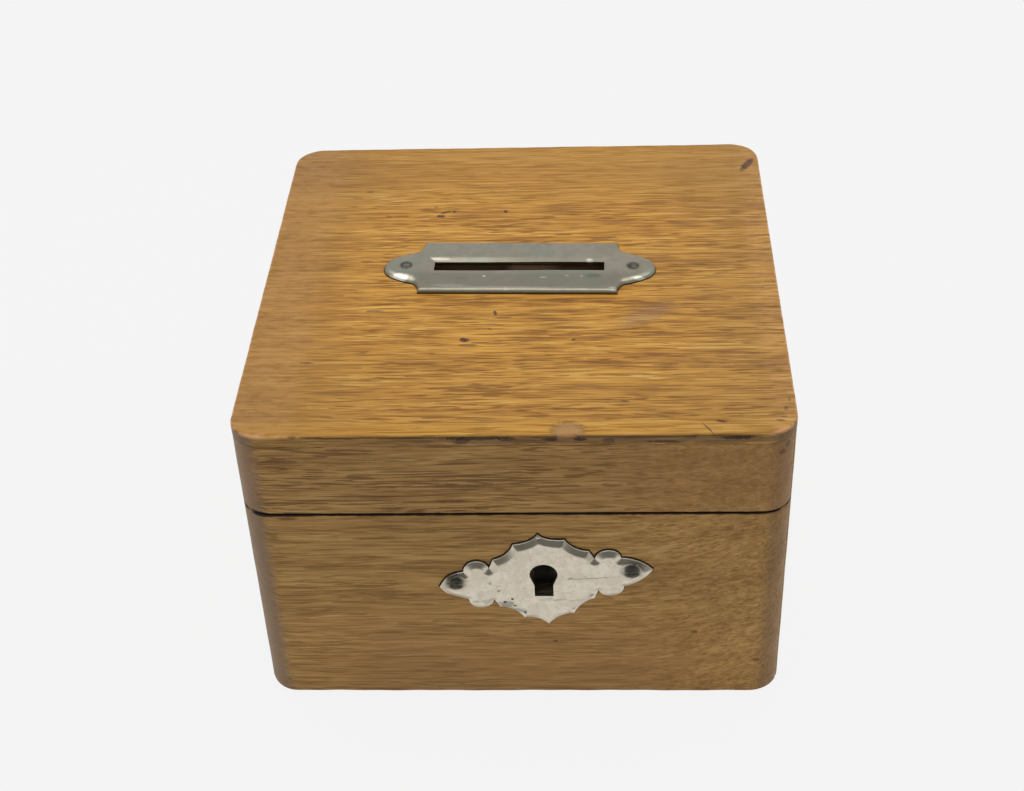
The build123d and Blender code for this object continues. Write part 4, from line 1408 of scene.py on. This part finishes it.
def dull_plate():
    """Dull plating over pressed steel: two greys, cloudy tints, marks with painted highlights,
    a painted reflection on the back bevel, and a side painted dark as shade.
    """
    made = new_material("dull_plated_steel")
    place = plate_place((slot_middle.real, slot_middle.imag, lid_top_z), (0.0, 0.0, -slot_tilt))
    x, y, z = axes(place)
    cloud = clouds(place, 0.3, 4.0)
    tint = noise(place, 11.0, 6.0, 1.0)
    grain = noise(place, 1.6, 0.35, 2.0)
    # The back bevel's left half is painted bluish: a painted reflection of the room behind.
    back_bevel_painted_reflection = times(ramp(y, 8.9, 9.8), ramp(x, 12.0, -12.0))
    shade = layered(
        over(ramp(cloud, 0.36, 0.64), "8E897B", "817C6E", 0.8),
        (ramp(tint, 0.54, 0.68), "7C8678", 0.55), (ramp(tint, 0.44, 0.32), "92857C", 0.45),
        (ramp(y, -1.5, -4.5), "686558", 0.5), (back_bevel_painted_reflection, "7E9298", 0.6),
    )
    shade = marked(shade, place, 2, 0.4, slot_plate_marks_and_highlights)
    shade = marked(shade, place, 2, 0.15, [(pin.real, -0.1, 1.95, 1.9, 0.6) for pin in slot_pins], "5A5952")
    # The plate's side is painted dark: painted shade at its foot.
    side = ramp(z, 0.32, 0.2)
    gloss = weighed(weighed(0.23, (cloud, 0.14), (grain, 0.06)), (side, 0.4), clamp=True)
    metal_surface(over(side, shade, "1E1A17", 0.92), gloss, grain, 0.4, 0.012)
    return made


print("coin-slot plate from", box_mm("coin_slot_plate")[0].round(2))

# %% [markdown]
# The keyhole plate is white metal worn to a cream. Dirt has settled in the dishes round the pins,
# a hairline crack runs from the keyhole to the right pin, and the lower left border is grey and
# pitted. Again the marks are in the plate's own place.

# %% The keyhole plate's finish
key_plate_marks = (
    (2.2, -6.0, 2.4, 0.35, 0.5, 0, "9A9788"), (6.5, -6.6, 2.0, 0.3, 0.5, 0, "A8A596"),
    (-15.0, -2.6, 0.8, 0.9, 0.5, 0, "B0AEA0"), (-16.2, -4.4, 0.9, 0.5, 0.5, 0, "8E9088"),
    (-9.5, -6.0, 2.2, 1.1, 0.7, 0, "7C837C"), (-6.9, -8.4, 2.0, 0.9, 0.6, 0, "8A8F86"),
    (-13.5, -4.6, 1.8, 0.9, 0.5, 0, "9A9A8C"), (9.7, -5.7, 0.9, 0.6, 0.5, 0, "8C8C80"),
    (-9.8, -5.2, 0.55, 0.35, 0.8, 0, "3A3A34"), (-8.0, -4.5, 0.35, 0.35, 0.85, 0, "34342E"),
    (-5.7, -9.1, 0.4, 0.7, 0.8, 0, "30302A"), (-10.6, -1.6, 0.4, 0.3, 0.6, 0, "5A5A4E"),
    (-7.7, -6.7, 0.5, 0.3, 0.85, 0, "2E2E28"), (9.8, -5.6, 0.35, 0.25, 0.7, 0, "3C3C36"),
    (5.3, -9.5, 0.3, 0.25, 0.7, 0, "4A4A42"), (-12.2, 1.0, 0.4, 0.5, 0.5, 0, "8A8A7A"),
    (0.4, 12.2, 0.4, 0.3, 0.7, 0, "3E4038"), (5.9, 0.25, 0.9, 0.3, 0.7, 0, "8E8C78"),
    (9.1, 0.3, 0.6, 0.2, 0.6, 0, "9A9886"), (-0.4, -5.6, 1.8, 0.5, 0.5, 0, "A8A8A0"),
)
crack = (9.9, -0.3, 7.0, 0.13, 0.75, -2.8)
dish_dirt = ((3.1, 0.35), (2.25, 0.9))


def worn_white_metal():
    """White metal rubbed to a cream, with dirt in its dishes, a crack, a pitted border, and a side
    painted dark with dirt and painted shade.
    """
    made = new_material("worn_white_metal")
    place = plate_place((key_plate_middle.real, -half, key_plate_middle.imag), (0.0, key_tilt, 0.0))
    cloud, fine = clouds(place, 0.4, 4.0), clouds(place, 1.6, 3.0)
    shade = layered(
        over(ramp(cloud, 0.36, 0.62), "DAD1C0", "CCC2AF", 0.9),
        (ramp(fine, 0.6, 0.7), "A8A48E", 0.5), (ramp(fine, 0.38, 0.3), "E2DCD0", 0.5),
    )
    shade = marked(shade, place, 1, 0.4, key_plate_marks)
    shade = marked(shade, place, 1, 0.35, [crack], "7C7866")
    rings = [
        (pin.real, pin.imag, size, size * 0.92, strength)
        for pin in key_pins for size, strength in dish_dirt
    ]
    shade = marked(shade, place, 1, 0.25, rings, "3C382F")
    # The plate's side is painted dark: dirt and painted shade at its foot.
    side = ramp(axes(place)[1], -0.36, -0.24)
    gloss = weighed(weighed(0.22, (fine, 0.2)), (side, 0.4), clamp=True)
    metal_surface(over(side, shade, "2B2620", 0.9), gloss, weighed(fine, (cloud, 0.5)), 0.5, 0.03)
    return made


for node, piece, look, body in (
    ("coin_slot_plate", slot_plate, dull_plate(), "lid"),
    ("keyhole_escutcheon", key_plate, worn_white_metal(), "base"),
    ("escutcheon_pins", key_plate_pins, metal_looks["dark_iron"], "base"),
):
    dress(piece, look)
    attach(piece, body)
    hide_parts(node)

# The film is dark: packed dirt and painted shade round the plate.
dress(dirt_and_shade_film, new_material("polish_dirt_and_painted_shade"))
dull = add("BsdfPrincipled", {"Base Color": colour("3A2C20"), "Roughness": 0.8})
add("OutputMaterial", {"Surface": dull})
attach(dirt_and_shade_film, "base")
print("plates dressed", len(plates))
